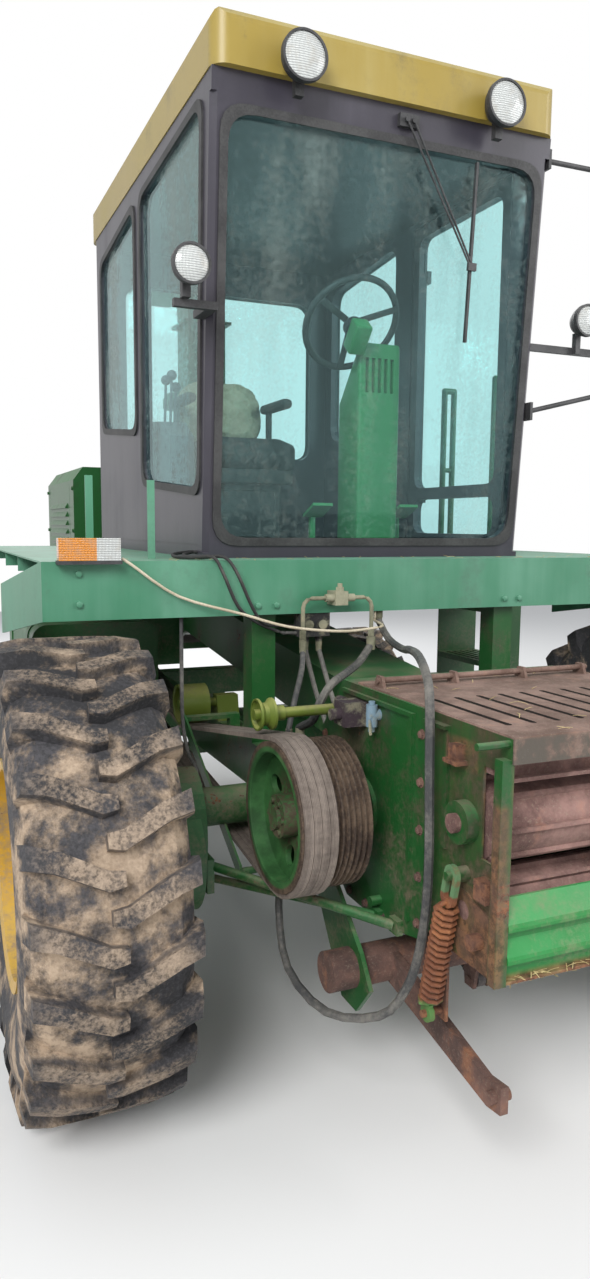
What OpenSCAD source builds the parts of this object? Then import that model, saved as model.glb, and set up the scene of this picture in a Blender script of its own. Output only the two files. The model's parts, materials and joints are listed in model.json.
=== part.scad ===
// Self-propelled forage harvester with its header taken off.
// Y runs back along the machine, X is across it and Z is up.
// The layout is worked out from the front axle, and the origin is on the ground,
// under the middle of the machine's length.

/* [Machine] */
// Front axle to rear axle
wheelbase = 2550; // [2500:10:2600]
// Front axle to the front of the throat
front_reach = 1130; // [1120:5:1140]
// How far the machine reaches behind its blower
rear_reach = 1120; // [1080:10:1160]

/* [Front wheels] */
// Front tyre's diameter over the lugs
front_tyre_d = 1450; // [1420:5:1460]
// Front tyre's width
front_tyre_w = 460; // [430:5:470]
// Distance between the middles of the front tyres
front_track = 2478; // [2440:2:2500]
// Rim seat diameter of the front wheels
front_rim_d = 660; // [640:5:680]
// Lugs on each half of a front tyre
front_lugs = 24; // [20:1:26]
// Height of a front lug
front_lug_h = 38; // [30:1:44]

/* [Rear wheels] */
// Rear tyre's diameter over the lugs
rear_tyre_d = 1120; // [1080:5:1130]
// Rear tyre's width
rear_tyre_w = 300; // [270:5:310]
// Distance between the middles of the rear tyres
rear_track = 2150; // [2140:2:2200]
// Rim seat diameter of the rear wheels
rear_rim_d = 610; // [590:5:630]
// Lugs on each half of a rear tyre
rear_lugs = 20; // [18:1:24]
// Height of a rear lug
rear_lug_h = 28; // [22:1:32]
// Kingpin's distance from the machine's middle
kingpin_x = 900; // [895:1:905]

/* [Frame] */
// Middle of a rail from the machine's middle
rail_x = 520; // [515:1:525]
// Rail width
rail_w = 90; // [80:2:96]
// Underside of the rails
rail_z = 850; // [848:1:856]
// Rail height
rail_h = 165; // [150:5:165]

/* [Deck] */
// Height of the deck's top
deck_z = 1680; // [1670:5:1700]
// Half the deck's width at its front
deck_half = 1297; // [1260:5:1310]
// Deck's front face behind the front axle
deck_front = 146; // [136:2:156]
// Height of the deck's front beam
beam_h = 193; // [180:1:200]
// How far the deck reaches behind the cab
deck_back = 78; // [60:2:90]
// Deck plate thickness
plate_t = 6; // [4:1:8]

/* [Cab] */
// Width of the cab
cab_w = 1389; // [1360:1:1410]
// Height of the cab walls
cab_h = 1630; // [1600:5:1650]
// Cab's front foot behind the front axle
cab_front = 352; // [345:1:360]
// How far the cab's front leans forwards at the top
cab_lean = 120; // [100:5:130]
// Cab length at the foot
cab_l = 1890; // [1860:5:1900]
// Thickness of the cab walls
wall_t = 44; // [38:1:50]
// Height of the roof
roof_h = 180; // [160:2:200]
// Glass thickness
glass_t = 6; // [5:1:8]
// How wide the door leaf is
door_l = 780; // [760:5:790]

/* [Throat] */
// Half the width of the feeder housing
throat_half = 400; // [396:1:404]
// Feeder housing's top
throat_z = 1312; // [1300:2:1320]
// Feed roll diameter over the slats
roll_d = 230; // [220:2:236]
// Cutting drum housing's radius
drum_r = 290; // [280:1:296]
// Number of slots in the cover
cover_slots = 10; // [8:1:10]

/* [Belt drive] */
// Large sheave's diameter
sheave_d = 450; // [440:2:456]
// Width of the large sheave
sheave_w = 220; // [210:2:226]
// Engine sheave's diameter
small_d = 300; // [280:5:310]

/* [Spout] */
// Side of the discharge duct
duct_side = 250; // [240:2:256]
// Height of the turntable
turn_z = 2560; // [2540:5:2600]

/* [Hidden] */
$fn = 48;

// The origin lies halfway between the throat's front and the engine housing's back.
throat_front = -front_reach;
front_r = front_tyre_d / 2;
rear_r = rear_tyre_d / 2;
rail_top = rail_z + rail_h;
rail_front = -130;
rail_in = rail_x - rail_w / 2;
rail_out = rail_x + rail_w / 2;
cab_top = deck_z + cab_h;
cab_back = cab_front + cab_l;
deck_end = cab_back + deck_back;
blower_y = deck_end + 200;
spout_y = blower_y + 80;
house_front = blower_y + 310;
rear_end = house_front + rear_reach;
y0 = -(rear_end - front_reach) / 2;
half_cab = cab_w / 2;
beam_z = deck_z - beam_h;

// Colours
green = [0.13, 0.36, 0.19];
pale_green = [0.30, 0.56, 0.42];
new_green = [0.10, 0.55, 0.22];
roof_yellow = [0.75, 0.62, 0.24];
rim_yellow = [0.78, 0.62, 0.10];
cab_grey = [0.22, 0.21, 0.24];
rust = [0.40, 0.25, 0.19];
steel = [0.42, 0.38, 0.36];
black = [0.08, 0.08, 0.09];
tyre_grey = [0.20, 0.20, 0.21];
tint = [0.45, 0.65, 0.62, 0.4];

// Feed rolls, in front of the axle
roll_y = -950;
upper_roll_z = 1062;
lower_roll_z = 826;
shaft_d = 50;
running = 0.05;
throat_back = -760;
side_t = 8;

// Cutting drum
drum_y = -400;
drum_z = 940;

// Large sheave
sheave_y = drum_y;
sheave_z = drum_z;
sheave_x = -720;

// Engine sheave
small_y = house_front + 290;
small_z = 1250;

// Header lift
lift_y = -450;
lift_z = 443;
lift_d = 125;
lift_half = 560;
lever_l = 130;
ram_base_y = 60;
ram_base_z = 480;
ram_l = norm([ram_base_y - lift_y, ram_base_z - (lift_z - lever_l)]);
ram_tilt = atan2(ram_base_z - (lift_z - lever_l), ram_base_y - lift_y);

// Steering
arm_y = 150;

// The roof's back edge, clear of the spout's turn
roof_back = spout_y - 250;

// Helpers

// A box from its lowest corner to its highest corner.
module box(lo, hi) {
    translate(lo) cube(hi - lo);
}

// A round bar along X between two places.
module bar_x(x1, x2, y, z, d) {
    translate([x1, y, z]) rotate([0, 90, 0]) cylinder(h = x2 - x1, d = d);
}

// A plate standing across X, from an outline in Y and Z.
module plate_x(x, t, points) {
    translate([x, 0, 0]) rotate([90, 0, 90]) linear_extrude(height = t) polygon(points);
}

// A solid turned about X
module turned_x(points) {
    rotate([0, 90, 0]) rotate_extrude() polygon(points);
}

module both_sides() {
    children();
    mirror([1, 0, 0]) children();
}

// A straight round bar between two points.
module rod(a, b, d, n = 24) {
    v = b - a;
    len = norm(v);
    translate(a)
        rotate([0, acos(v[2] / len), atan2(v[1], v[0])])
            cylinder(h = len, d = d, $fn = n);
}

// A sheet outline with round corners, centred, for windows.
module rounded(w, h, r) {
    square([w - 2 * r, h], center = true);
    square([w, h - 2 * r], center = true);
    for (sx = [-1, 1], sy = [-1, 1])
        translate([sx * (w / 2 - r), sy * (h / 2 - r)]) circle(r = r);
}

// An outline with soft corners, and one grown on all its sides
function soft(p, r, steps = 5) = [
    for (i = [0:len(p) - 1])
        let (a = p[i], b = p[(i + len(p) - 1) % len(p)], c = p[(i + 1) % len(p)],
            u = a + r * unit(b - a), w = a + r * unit(c - a))
        for (k = [0:steps])
            let (t = k / steps) (1 - t) * (1 - t) * u + 2 * t * (1 - t) * a + t * t * w
];
function grown(p, d) = [
    for (i = [0:len(p) - 1])
        let (a = p[i], u = unit(p[(i + len(p) - 1) % len(p)] - a),
            w = unit(p[(i + 1) % len(p)] - a))
        a - (u + w) * d / abs(cross(u, w))
];

// Sweep of a round hose along points, as one polyhedron.
function unit(v) = v / norm(v);
function tangent(p, i) = unit(p[min(i + 1, len(p) - 1)] - p[max(i - 1, 0)]);
function frame_x(t) = unit(cross(abs(t[0]) > 0.9 ? [0, 1, 0] : [1, 0, 0], t));
function ring(p, i, r, n) =
    let (t = tangent(p, i), u = frame_x(t), w = cross(t, u))
    [for (k = [0:n - 1]) p[i] + r * (cos(360 * k / n) * u + sin(360 * k / n) * w)];
function curve_point(a, b, c, d, t) =
    0.5 * ((2 * b) + (c - a) * t + (2 * a - 5 * b + 4 * c - d) * t * t
        + (3 * b - a - 3 * c + d) * t * t * t);
function smooth(p, steps) = [
    for (i = [0:len(p) - 2], s = [0:steps - 1])
        curve_point(p[max(i - 1, 0)], p[i], p[i + 1], p[min(i + 2, len(p) - 1)], s / steps),
    p[len(p) - 1]
];

// Hose ends run straight into their fittings.
function led(p) = let (n = len(p) - 1) [
    p[0], (2 * p[0] + p[1]) / 3, (p[0] + 2 * p[1]) / 3, for (i = [1:n - 1]) p[i],
    (2 * p[n - 1] + p[n]) / 3, (p[n - 1] + 2 * p[n]) / 3, p[n]
];

module hose(p, d, n = 8) {
    skin([for (i = [0:len(p) - 1]) each ring(p, i, d / 2, n)], n);
}

// The skin over rings of n points each
module skin(points, n) {
    rings = len(points) / n;
    polyhedron(
        points = points,
        faces = concat(
            [[for (k = [0:n - 1]) k]],
            [for (i = [0:rings - 2], k = [0:n - 1])
                [i * n + k, (i + 1) * n + k, (i + 1) * n + (k + 1) % n, i * n + (k + 1) % n]],
            [[for (k = [n - 1:-1:0]) (rings - 1) * n + k]]
        )
    );
}

// Wheels

// One tyre about X. The outline's columns: share of the wall's height, share of the half width
module tyre(d, w, rim_d, lugs, lug_h) {
    r = d / 2;
    tread = r - lug_h;
    seat = rim_d / 2 + running;
    wall = tread - seat;
    half = w / 2;
    outline = [
        [0.00, 0.84], [0.12, 0.88], [0.35, 0.97], [0.52, 1.00], [0.70, 0.975],
        [0.86, 0.90], [0.96, 0.72], [1.00, 0.35]
    ];
    side = [for (q = outline) [seat + wall * q[0], half * q[1]]];
    other = [for (i = [len(side) - 1:-1:0]) [side[i][0], -side[i][1]]];
    turned_x(concat(side, other));
    intersection() {
        turned_x([
            [tread - wall * 0.26, half * 0.93], [tread - wall * 0.10, half * 0.99],
            [r - lug_h * 0.35, half * 0.93], [r, half * 0.62], [r, -half * 0.62],
            [r - lug_h * 0.35, -half * 0.93], [tread - wall * 0.10, -half * 0.99],
            [tread - wall * 0.26, -half * 0.93], [tread - wall * 0.06, -half * 0.7],
            [tread - wall * 0.03, 0], [tread - wall * 0.06, half * 0.7]
        ]);
        for (i = [0:lugs - 1], s = [-1, 1])
            rotate([(i + (s > 0 ? 0.5 : 0)) * 360 / lugs, 0, 0])
                translate([0, 0, tread - wall * 0.4])
                    linear_extrude(height = lug_h + wall * 0.5)
                        lug_outline(half, d, s);
    }
}

// Plan of one lug: it starts past the middle of the tread and runs out to the shoulder.
module lug_outline(half, d, side) {
    k = d / 1450;
    polygon([for (q = [
        [-0.08, -88], [0.10, -96], [0.66, -34], [1.03, -12],
        [1.03, 52], [0.56, 12], [0.10, -44], [-0.08, -50]
    ]) [side * half * q[0], k * q[1]]]);
}

// A steel wheel about X. The spindle's bore opens at minus X.
module rim(d, w, hub_d, hub_in, disc_out, spindle_d) {
    r = d / 2;
    half = w * 0.42 + running;
    difference() {
        union() {
            turned_x([
                [r + 24, -half - 18], [r + 24, -half - 6], [r, -half], [r, half],
                [r + 24, half + 6], [r + 24, half + 18], [r - 10, half + 10],
                [r - 10, -half - 10]
            ]);
            turned_x([
                [0, disc_out - 62], [hub_d / 2 + 40, disc_out - 62], [r - 60, disc_out - 6],
                [r - 5, disc_out], [r - 5, disc_out + 14], [r - 64, disc_out + 8],
                [hub_d / 2 + 36, disc_out - 48], [hub_d / 2, disc_out - 48],
                [hub_d / 2, disc_out - 20], [hub_d / 2 - 20, disc_out], [0, disc_out]
            ]);
            turned_x([[0, hub_in], [hub_d / 2, hub_in], [hub_d / 2, disc_out - 50],
                [0, disc_out - 50]]);
            for (i = [0:7])
                rotate([i * 45, 0, 0]) translate([disc_out - 49, 0, hub_d / 2 + 22])
                    rotate([0, 90, 0]) cylinder(h = 22, d = 26, $fn = 24);
        }
        bar_x(hub_in - 1, disc_out - 70, 0, 0, spindle_d + 2 * running);
        for (i = [0:3])
            rotate([i * 90 + 45, 0, 0]) translate([disc_out - 90, 0, (hub_d / 2 + r) / 2 + 6])
                rotate([0, 90, 0]) cylinder(h = 120, d = (r - hub_d / 2) * 0.3);
    }
}

module painted(c) {
    color(c) translate([0, y0, 0]) children();
}

// Frame

module frame_rails() painted(green) {
    both_sides() difference() {
        box([rail_in, rail_front, rail_z], [rail_out, rear_end - 150, rail_top]);
        box([rail_in + 10, rail_front - 1, rail_z + 12],
            [rail_out - 10, rear_end - 100, rail_top - 12]);
    }
}

tank_front = 850;
tank_l = 900;
tank_in = 740;
tank_out = 1250;
tank_z = rail_z;
tank_h = 550;
step_front = 1270;
step_l = 440;

module frame_crossmembers() painted(green) {
    for (y = [700, 1900, rear_end - 270])
        box([-rail_in, y, rail_z + 20], [rail_in, y + 110, rail_top - 12]);
    both_sides() {
        // Cab and deck stands
        for (y = [190, 1950])
            box([rail_in, y, rail_top], [rail_out, y + 90, beam_z]);
        // Bearings for the lift's cross tube
        difference() {
            plate_x(rail_in - 14, 14, [
                [-80, rail_top], [rail_front, rail_top], [rail_front, rail_z],
                [lift_y - 60, lift_z + 70], [lift_y - lift_d, lift_z - 20],
                [lift_y - 40, lift_z - lift_d], [lift_y + 60, lift_z - lift_d],
                [-80, rail_z - 90]
            ]);
            bar_x(rail_in - 15, rail_in + 1, lift_y, lift_z, lift_d + 2 * running);
        }
    }
    // Tank bearers, under the drive belt's lower run
    for (y = [tank_front + 100, tank_front + tank_l - 160]) {
        box([-tank_out, y, tank_z - 60], [-rail_in, y + 60, tank_z - 20]);
        box([-rail_out, y, tank_z - 20], [-rail_in, y + 60, tank_z]);
        box([-tank_out, y, tank_z - 20], [-tank_in, y + 60, tank_z]);
    }
    // Ladder bearers
    for (y = [step_front, step_front + step_l - 60])
        box([rail_out, y, rail_z + 30], [1180, y + 60, rail_z + 90]);
    // Stays from the final drives to the cutter housing
    both_sides() {
        box([816, -140, 614], [840, -20, 728]);
        rod([824, -110, 700], [430, -636, 650], 30);
        rod([824, -50, 640], [430, -520, 634], 26);
        box([416, -660, 628], [436, -612, 672]);
        box([416, -544, 614], [436, -496, 654]);
    }
    // Guard strap outside the belt, ending on the axle tube
    difference() {
        plate_x(sheave_x - 28, 8, [
            [470, 1048], [470, 1090], [430, 1078], [-190, 716], [-204, 682], [-180, 672]
        ]);
        bar_x(sheave_x - 30, sheave_x, 0, axle_z, axle_d);
    }
    box([sheave_x - 20.5, 430, 1058], [-rail_out + 20, 470, 1074]);
    box([-rail_out, 430, rail_top], [-rail_out + 40, 470, 1074]);
    bar_x(sheave_x - 21, -rail_in + 6, -178, 690, 24);
    // Ram bracket
    for (x = [-36, 20])
        plate_x(x, 16, [
            [-60, axle_box_z], [120, axle_box_z], [ram_base_y + 40, ram_base_z + 30],
            [ram_base_y + 40, ram_base_z - 30], [ram_base_y - 30, ram_base_z - 40],
            [ram_base_y - 60, ram_base_z + 40]
        ]);
    bar_x(-48, 48, ram_base_y, ram_base_z, 30);
    // Drawbar plate at the back
    difference() {
        box([-150, rear_end - 160, rail_z + 20], [150, rear_end, rail_z + 50]);
        translate([0, rear_end - 60, rail_z]) cylinder(h = 80, r = 16);
    }
}

axle_z = 860;
axle_box_z = 720;
axle_d = 130;
final_in = 860;
final_out = 980;
front_spindle = 90;
front_hub_in = 1040;

module front_axle() painted(green) {
    difference() {
        bar_x(-final_in, final_in, 0, axle_z, axle_d);
        both_sides() box([rail_in - 1, -90, rail_z], [rail_out + 1, 90, axle_z + axle_d]);
    }
    box([-190, -85, axle_box_z], [190, 230, axle_z + 30]);
    // Hose ports on the axle tube
    for (x = [-830, -330, -272]) translate([x, 0, axle_z]) {
        cylinder(h = 90, d = 24);
        cylinder(h = 84, d = 34, $fn = 6);
    }
    both_sides() {
        box([rail_in + 5, -80, axle_z - 60], [rail_out - 5, 80, rail_z]);
        plate_x(final_in - 20, 120, [for (a = [0:15:345])
            [150 * cos(a), (axle_z + front_r) / 2 + 210 * sin(a)]]);
        bar_x(final_in, final_out, 0, front_r, 400);
        bar_x(final_out, front_hub_in - 5, 0, front_r, 210);
        bar_x(final_out, front_track / 2 - 60, 0, front_r, front_spindle);
    }
}

kingpin_d = 44;
boss_d = 92;
boss_half = 62;

module rear_axle() painted(green) {
    difference() {
        union() {
            box([-kingpin_x + 20, wheelbase - 60, rear_r - 60],
                [kingpin_x - 20, wheelbase + 60, rear_r + 60]);
            both_sides() translate([kingpin_x, wheelbase, rear_r - boss_half])
                cylinder(h = 2 * boss_half, d = boss_d);
        }
        both_sides() translate([kingpin_x, wheelbase, rear_r - boss_half - 1])
            cylinder(h = 2 * boss_half + 2, d = kingpin_d + 2 * running);
    }
    // Pivot stand that carries the frame
    box([-110, wheelbase - 60, rear_r + 60], [110, wheelbase + 60, rail_z - 30]);
    box([-rail_out, wheelbase - 60, rail_z - 50], [rail_out, wheelbase + 60, rail_z]);
}

// Throat

module feeder_housing() painted(green) {
    both_sides() {
        difference() {
            plate_x(throat_half, side_t, [
                [throat_front + 8, 700], [throat_back, 700], [throat_back, throat_z],
                [throat_front + 8, throat_z]
            ]);
            box([throat_half - 1, throat_front + 40, 985], [throat_half + 20, -1012, 1222]);
            for (z = [upper_roll_z, lower_roll_z])
                bar_x(throat_half - 1, throat_half + 20, roll_y, z, shaft_d + 2 * running);
        }
        // Front post and a stiffening strip behind the side window
        box([throat_half + side_t, throat_front + 8, 700],
            [throat_half + side_t + 26, throat_front + 38, 1262]);
        box([throat_half + side_t, -866, 960], [throat_half + side_t + 10, -846, 1290]);
        box([throat_half + side_t, -866, 1280], [throat_half + side_t + 22, throat_back, 1290]);
        // Bearing housings
        for (q = [[upper_roll_z, 34], [lower_roll_z, 4]])
            difference() {
                bar_x(throat_half + side_t, throat_half + side_t + q[1], roll_y, q[0], 110);
                bar_x(throat_half, throat_half + 68, roll_y, q[0], shaft_d + 2 * running);
            }
        // Round plate and hub of the lower roll's drive
        difference() {
            bar_x(throat_half + side_t, throat_half + side_t + 6, -1005, 770, 190);
            bar_x(throat_half, throat_half + 40, roll_y, lower_roll_z, 108);
            box([throat_half, -1120, 600], [throat_half + 40, -900, 702]);
        }
        bar_x(throat_half + side_t, throat_half + side_t + 36, -1028, 778, 42);
        // Bracket blocks
        box([throat_half + side_t, -1084, 896], [throat_half + side_t + 34, -1034, 948]);
        box([throat_half + side_t, -936, 1216], [throat_half + side_t + 30, -900, 1256]);
        box([throat_half + side_t, -948, 1206], [throat_half + side_t + 38, -886, 1216.5]);
        // Pins for the cover and the springs
        bar_x(throat_half + 4, throat_half + 100, throat_front + 20, 1299, 18);
        spring_pin_low();
        spring_pin_high();
        box([throat_half, -880, 480], [throat_half + side_t, -836, 700]);
    }
    box([-throat_half - side_t, throat_front + 60, 692], [throat_half + side_t, throat_back, 700.5]);
}

module spring_pin_low() {
    bar_x(throat_half + 2, spring_x + 20, spring_foot[0], spring_foot[1], spring_pin_d);
}

module spring_pin_high() {
    y = spring_foot[0] - spring_l * sin(spring_tilt);
    z = spring_foot[1] + spring_l * cos(spring_tilt);
    bar_x(throat_half + 2, spring_x + 20, y, z, link_pin_d);
    bar_x(throat_half + 2, spring_x - 12, y, z, link_pin_d + 16);
}

module feeder_cover() painted(rust) {
    difference() {
        box([-throat_half - 8, throat_front, throat_z], [throat_half + 8, -340, throat_z + 6]);
        for (i = [0:cover_slots - 1])
            translate([(i - (cover_slots - 1) / 2) * 75, -839, throat_z - 1])
                linear_extrude(height = 10) rounded(18, 358, 8.9);
    }
    // Folded lip
    box([-throat_half - 8, throat_front, throat_z - 60], [throat_half + 8, throat_front + 6,
        throat_z + 0.5]);
    // Lifting rod on two lugs
    for (x = [-390, -130, 130, 370])
        plate_x(x, 10, [[-470, throat_z + 5], [-410, throat_z + 5], [-425, 1352], [-455, 1352]]);
    bar_x(-398, 398, -440, 1338, 18);
}

// Crossbars behind the lip
module throat_bars() painted(rust) {
    difference() {
        box([-throat_half, -1092, 1196], [throat_half, -1062, 1250]);
        box([-throat_half + 20, -1093, 1206], [throat_half - 20, -1068, 1240]);
    }
    box([-throat_half, -1040, 1204], [throat_half, -1006, 1222]);
    for (x = [-300, 120]) box([x, -1062, 1210], [x + 60, -1039, 1218]);
}

module throat_sill() painted(new_green) {
    plate_x(-throat_half, 2 * throat_half, [
        [throat_front + 58, 905], [throat_front + 50, 905], [throat_front + 8, 856],
        [throat_front + 4, 846], [throat_front + 4, 838], [throat_front + 26, 838],
        [throat_front + 26, 812], [throat_front + 6, 774], [throat_front + 3, 766],
        [throat_front + 3, 756], [throat_front + 28, 756], [throat_front + 28, 708],
        [throat_front + 58, 708]
    ]);
    box([-throat_half, throat_front + 14, 700], [throat_half, throat_front + 58, 708.5]);
}

module cutter_housing() painted(green) {
    both_sides() difference() {
        plate_x(throat_half, side_t + 8, [
            [throat_back, 660], [-560, 610], [-300, 610], [-100, 760], [-100, 1130],
            [-250, throat_z], [throat_back, throat_z]
        ]);
        bar_x(throat_half - 1, throat_half + 30, drum_y, drum_z, 70);
    }
    // Bearing flanges of the drum's shaft, with their bolts
    both_sides() {
        difference() {
            union() {
                bar_x(throat_half + 16, throat_half + 30, drum_y, drum_z, 190);
                bar_x(throat_half + 30, throat_half + 48, drum_y, drum_z, 120);
            }
            bar_x(throat_half, throat_half + 60, drum_y, drum_z, 71);
        }
        for (a = [45:90:315]) bar_x(throat_half + 29, throat_half + 42,
            drum_y + 76 * cos(a), drum_z + 76 * sin(a), 18);
        // Stiffening strips and the lower fitting
        box([throat_half + 16, -700, 690], [throat_half + 28, -684, 1290]);
        box([throat_half + 16, -684, 1278], [throat_half + 28, -262, 1290]);
    }
    bar_x(-throat_half - 50, -throat_half - 15, -520, 680, 30);
    difference() {
        bar_x(-throat_half, throat_half, drum_y, drum_z, 2 * drum_r);
        bar_x(-throat_half - 1, throat_half + 1, drum_y, drum_z, 2 * drum_r - 16);
        box([-throat_half - 1, -800, drum_z - 230], [throat_half + 1, drum_y - 160, drum_z + 240]);
        duct_body(0);
    }
    box([-throat_half, throat_back, throat_z - 12], [throat_half, -250, throat_z]);
    // Cutting drum and its shaft
    bar_x(-throat_half + 12, throat_half - 12, drum_y, drum_z, 440);
    bar_x(-throat_half - 16, throat_half + 50, drum_y, drum_z, 70);
}

duct_front_y = -165;
duct_end_y = blower_y - 220;
duct_front_z = 935;
duct_end_z = 1180;
duct_h = 250;

module duct_body(inset) {
    plate_x(-200 + inset, 400 - 2 * inset, [
        [duct_front_y, duct_front_z + inset], [duct_end_y, duct_end_z + inset],
        [duct_end_y, duct_end_z + duct_h - inset], [duct_front_y, duct_front_z + duct_h - inset]
    ]);
}

module transfer_duct() painted(green) {
    difference() {
        duct_body(0);
        translate([0, -1, 0]) duct_body(8);
        translate([0, 1, 0]) duct_body(8);
    }
}

// Belt drive

belt_t = 14;
belt_gap = 0.3;
belt_w = 100;
belt_steps = 18;
belt_ribs = 4;
idler_r = 80;
idler_y = 620;
idler_z = 1087;
guide_y = -263;
guide_z = 1222;

// Pulleys: place in Y and Z, and radius, minus where the belt's back runs on it
pulleys = [[sheave_y, sheave_z, sheave_d / 2], [small_y, small_z, small_d / 2],
    [idler_y, idler_z, -idler_r]];
function mid_r(p) = p[2] + sign(p[2]) * (belt_gap + belt_t / 2);
function run_dir(a, b) =
    let (dy = b[0] - a[0], dz = b[1] - a[1])
    atan2(dz, dy) + asin((mid_r(a) - mid_r(b)) / norm([dy, dz]));
function wrap(a) = a < 0 ? a + 360 : a;
function belt_line(off) = [
    for (i = [0:2], k = [0:belt_steps])
        let (p = pulleys[i], a = wrap(run_dir(pulleys[(i + 2) % 3], p)),
            b = wrap(run_dir(p, pulleys[(i + 1) % 3])),
            turn = p[2] > 0 && b < a ? b + 360 - a : b - a,
            t = a + turn * k / belt_steps, r = (mid_r(p) + off) / cos(turn / belt_steps / 2))
        [p[0] + r * sin(t), p[1] - r * cos(t)]
];

function groove_line(x, w, r, count, depth) = [
    for (i = [0:count - 1])
        let (a = x + (i + 0.5) * w / count, h = w / count / 2)
        each [[r, a - h + 2.5], [r - depth, a - 2.5], [r - depth, a + 2.5], [r, a + h - 2.5]]
];

// Grooved pulley about X: rim, web with round holes, hub and bolt heads
module sheave(x, w, d, hub, count) {
    web = x + min(60, w * 0.4);
    turned_x(concat([[d / 2 - 34, x + 4], [d / 2 - 30, x], [d / 2, x]],
        groove_line(x + 4, w - 8, d / 2, count, 12),
        [[d / 2, x + w], [d / 2 - 26, x + w], [d / 2 - 34, x + w - 12]]));
    difference() {
        turned_x([
            [0, web + 8], [hub / 2 + 12, web + 8], [d / 2 - 32, web - 12], [d / 2 - 32, web + 6],
            [hub / 2 + 12, web + 26], [0, web + 26]
        ]);
        for (a = [0:60:300]) rotate([a, 0, 0])
            bar_x(x - 1, x + w, 0, (d / 2 - 34 + hub / 2) / 2, (d / 2 - 34 - hub / 2) * 0.5);
    }
    bar_x(x + 14, x + w - 6, 0, 0, hub);
    bar_x(x + 2, x + 20, 0, 0, hub * 0.55);
    for (a = [30:60:330]) rotate([a, 0, 0])
        bar_x(x + 6, x + 16, 0, hub * 0.38, 18);
}

module belt_sheaves() painted(steel) {
    translate([0, sheave_y, sheave_z]) {
        sheave(sheave_x, sheave_w, sheave_d, 130, 12);
        bar_x(sheave_x + 10, -throat_half - 16, 0, 0, 60);
    }
    translate([0, small_y, small_z]) {
        sheave(sheave_x, belt_w + 12, small_d, 110, 6);
        bar_x(sheave_x, -300, 0, 0, 60);
    }
}

module main_belt() painted(black) {
    pitch = belt_w / belt_ribs;
    for (i = [0:belt_ribs - 1]) difference() {
        plate_x(sheave_x + 7 + i * pitch, pitch - 2, belt_line(belt_t / 2));
        plate_x(sheave_x + 6 + i * pitch, pitch, belt_line(-belt_t / 2));
    }
    difference() {
        plate_x(sheave_x + 9, belt_w - 6, belt_line(belt_t / 2 - 3));
        plate_x(sheave_x + 6, belt_w, belt_line(-belt_t / 2 + 3));
    }
}

// Idler wheel on its post, and a small guide pulley
module belt_tensioner() painted(green) {
    translate([0, idler_y, idler_z]) {
        turned_x([
            [28, sheave_x + 36], [idler_r - 12, sheave_x + 36], [idler_r - 12, sheave_x + 3],
            [idler_r - 9, sheave_x], [idler_r, sheave_x], [idler_r, sheave_x + belt_w + 12],
            [idler_r - 9, sheave_x + belt_w + 12], [idler_r - 12, sheave_x + belt_w + 9],
            [idler_r - 12, sheave_x + 60], [28, sheave_x + 60]
        ]);
        bar_x(sheave_x + 10, sheave_x + belt_w + 12, 0, 0, 60);
        bar_x(sheave_x + 2, -rail_in, 0, 0, 36);
    }
    plate_x(-rail_out, rail_w, [
        [idler_y - 44, rail_top], [idler_y + 44, rail_top], [idler_y + 26, idler_z + 30],
        [idler_y - 26, idler_z + 30]
    ]);
    translate([0, guide_y, guide_z]) {
        turned_x([
            [15, sheave_x + 12], [38, sheave_x + 12], [44, sheave_x + 4], [44, sheave_x],
            [50, sheave_x], [50, sheave_x + 8], [36, sheave_x + 20], [36, sheave_x + 34],
            [50, sheave_x + 46], [50, sheave_x + 54], [15, sheave_x + 54]
        ]);
        bar_x(sheave_x - 8, -throat_half - 16, 0, 0, 34);
        bar_x(sheave_x + 50, sheave_x + 90, 0, 0, 48);
    }
}

// Springs beside the throat: foot at the lower pin, Z along the spring
spring_x = throat_half + 50;
spring_foot = [-858, 505];
spring_tilt = 12.9;
spring_l = 432;
coil_low = 42;
coil_l = 300;
coil_r = 28;
wire_d = 13;
coil_turns = 16;
spring_pin_d = 20;
link_pin_d = 24;

function coil_ring(a, z) = [
    for (k = [0:5]) let (r = coil_r + wire_d / 2 * cos(k * 60))
        [r * cos(a), r * sin(a), z - wire_d / 2 * sin(k * 60)]
];

module coil() {
    steps = coil_turns * 8;
    skin([for (i = [0:steps]) each coil_ring(i * 45, coil_l * i / steps)], 6);
}

module spring_place() {
    translate([spring_x, spring_foot[0], spring_foot[1]]) rotate([spring_tilt, 0, 0]) children();
}

module feed_springs() painted(rust) both_sides() spring_place() {
    $fn = 24;
    eye_d = (spring_pin_d + 2 * running) / cos(7.5);
    slot_d = (link_pin_d + 2 * running) / cos(7.5);
    translate([0, 0, coil_low]) coil();
    // Hooked ends
    for (z = [coil_low, coil_low + coil_l]) translate([coil_r, 0, z]) knob();
    rod([coil_r, 0, coil_low], [0, 0, coil_low - 12], wire_d, 12);
    rod([coil_r, 0, coil_low + coil_l], [0, 0, coil_low + coil_l + 14], wire_d, 12);
    for (z = [coil_low - 12, coil_low + coil_l + 14]) translate([0, 0, z]) knob();
    difference() {
        union() {
            bar_x(-8, 8, 0, 0, 48);
            translate([-7, -9, 0]) cube([14, 18, coil_low - 12]);
        }
        bar_x(-9, 9, 0, 0, eye_d);
    }
    // Link that hangs on the upper pin
    translate([0, 0, spring_l]) rotate([90, 0, 90]) translate([0, 0, -7])
        linear_extrude(height = 14) difference() {
            union() {
                translate([-28, -64]) square([56, 64]);
                for (y = [-64, 0]) translate([0, y]) circle(d = 56);
            }
            translate([-slot_d / 2, -60]) square([slot_d, 60]);
            for (y = [-60, 0]) translate([0, y]) circle(d = slot_d);
        }
}

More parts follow.
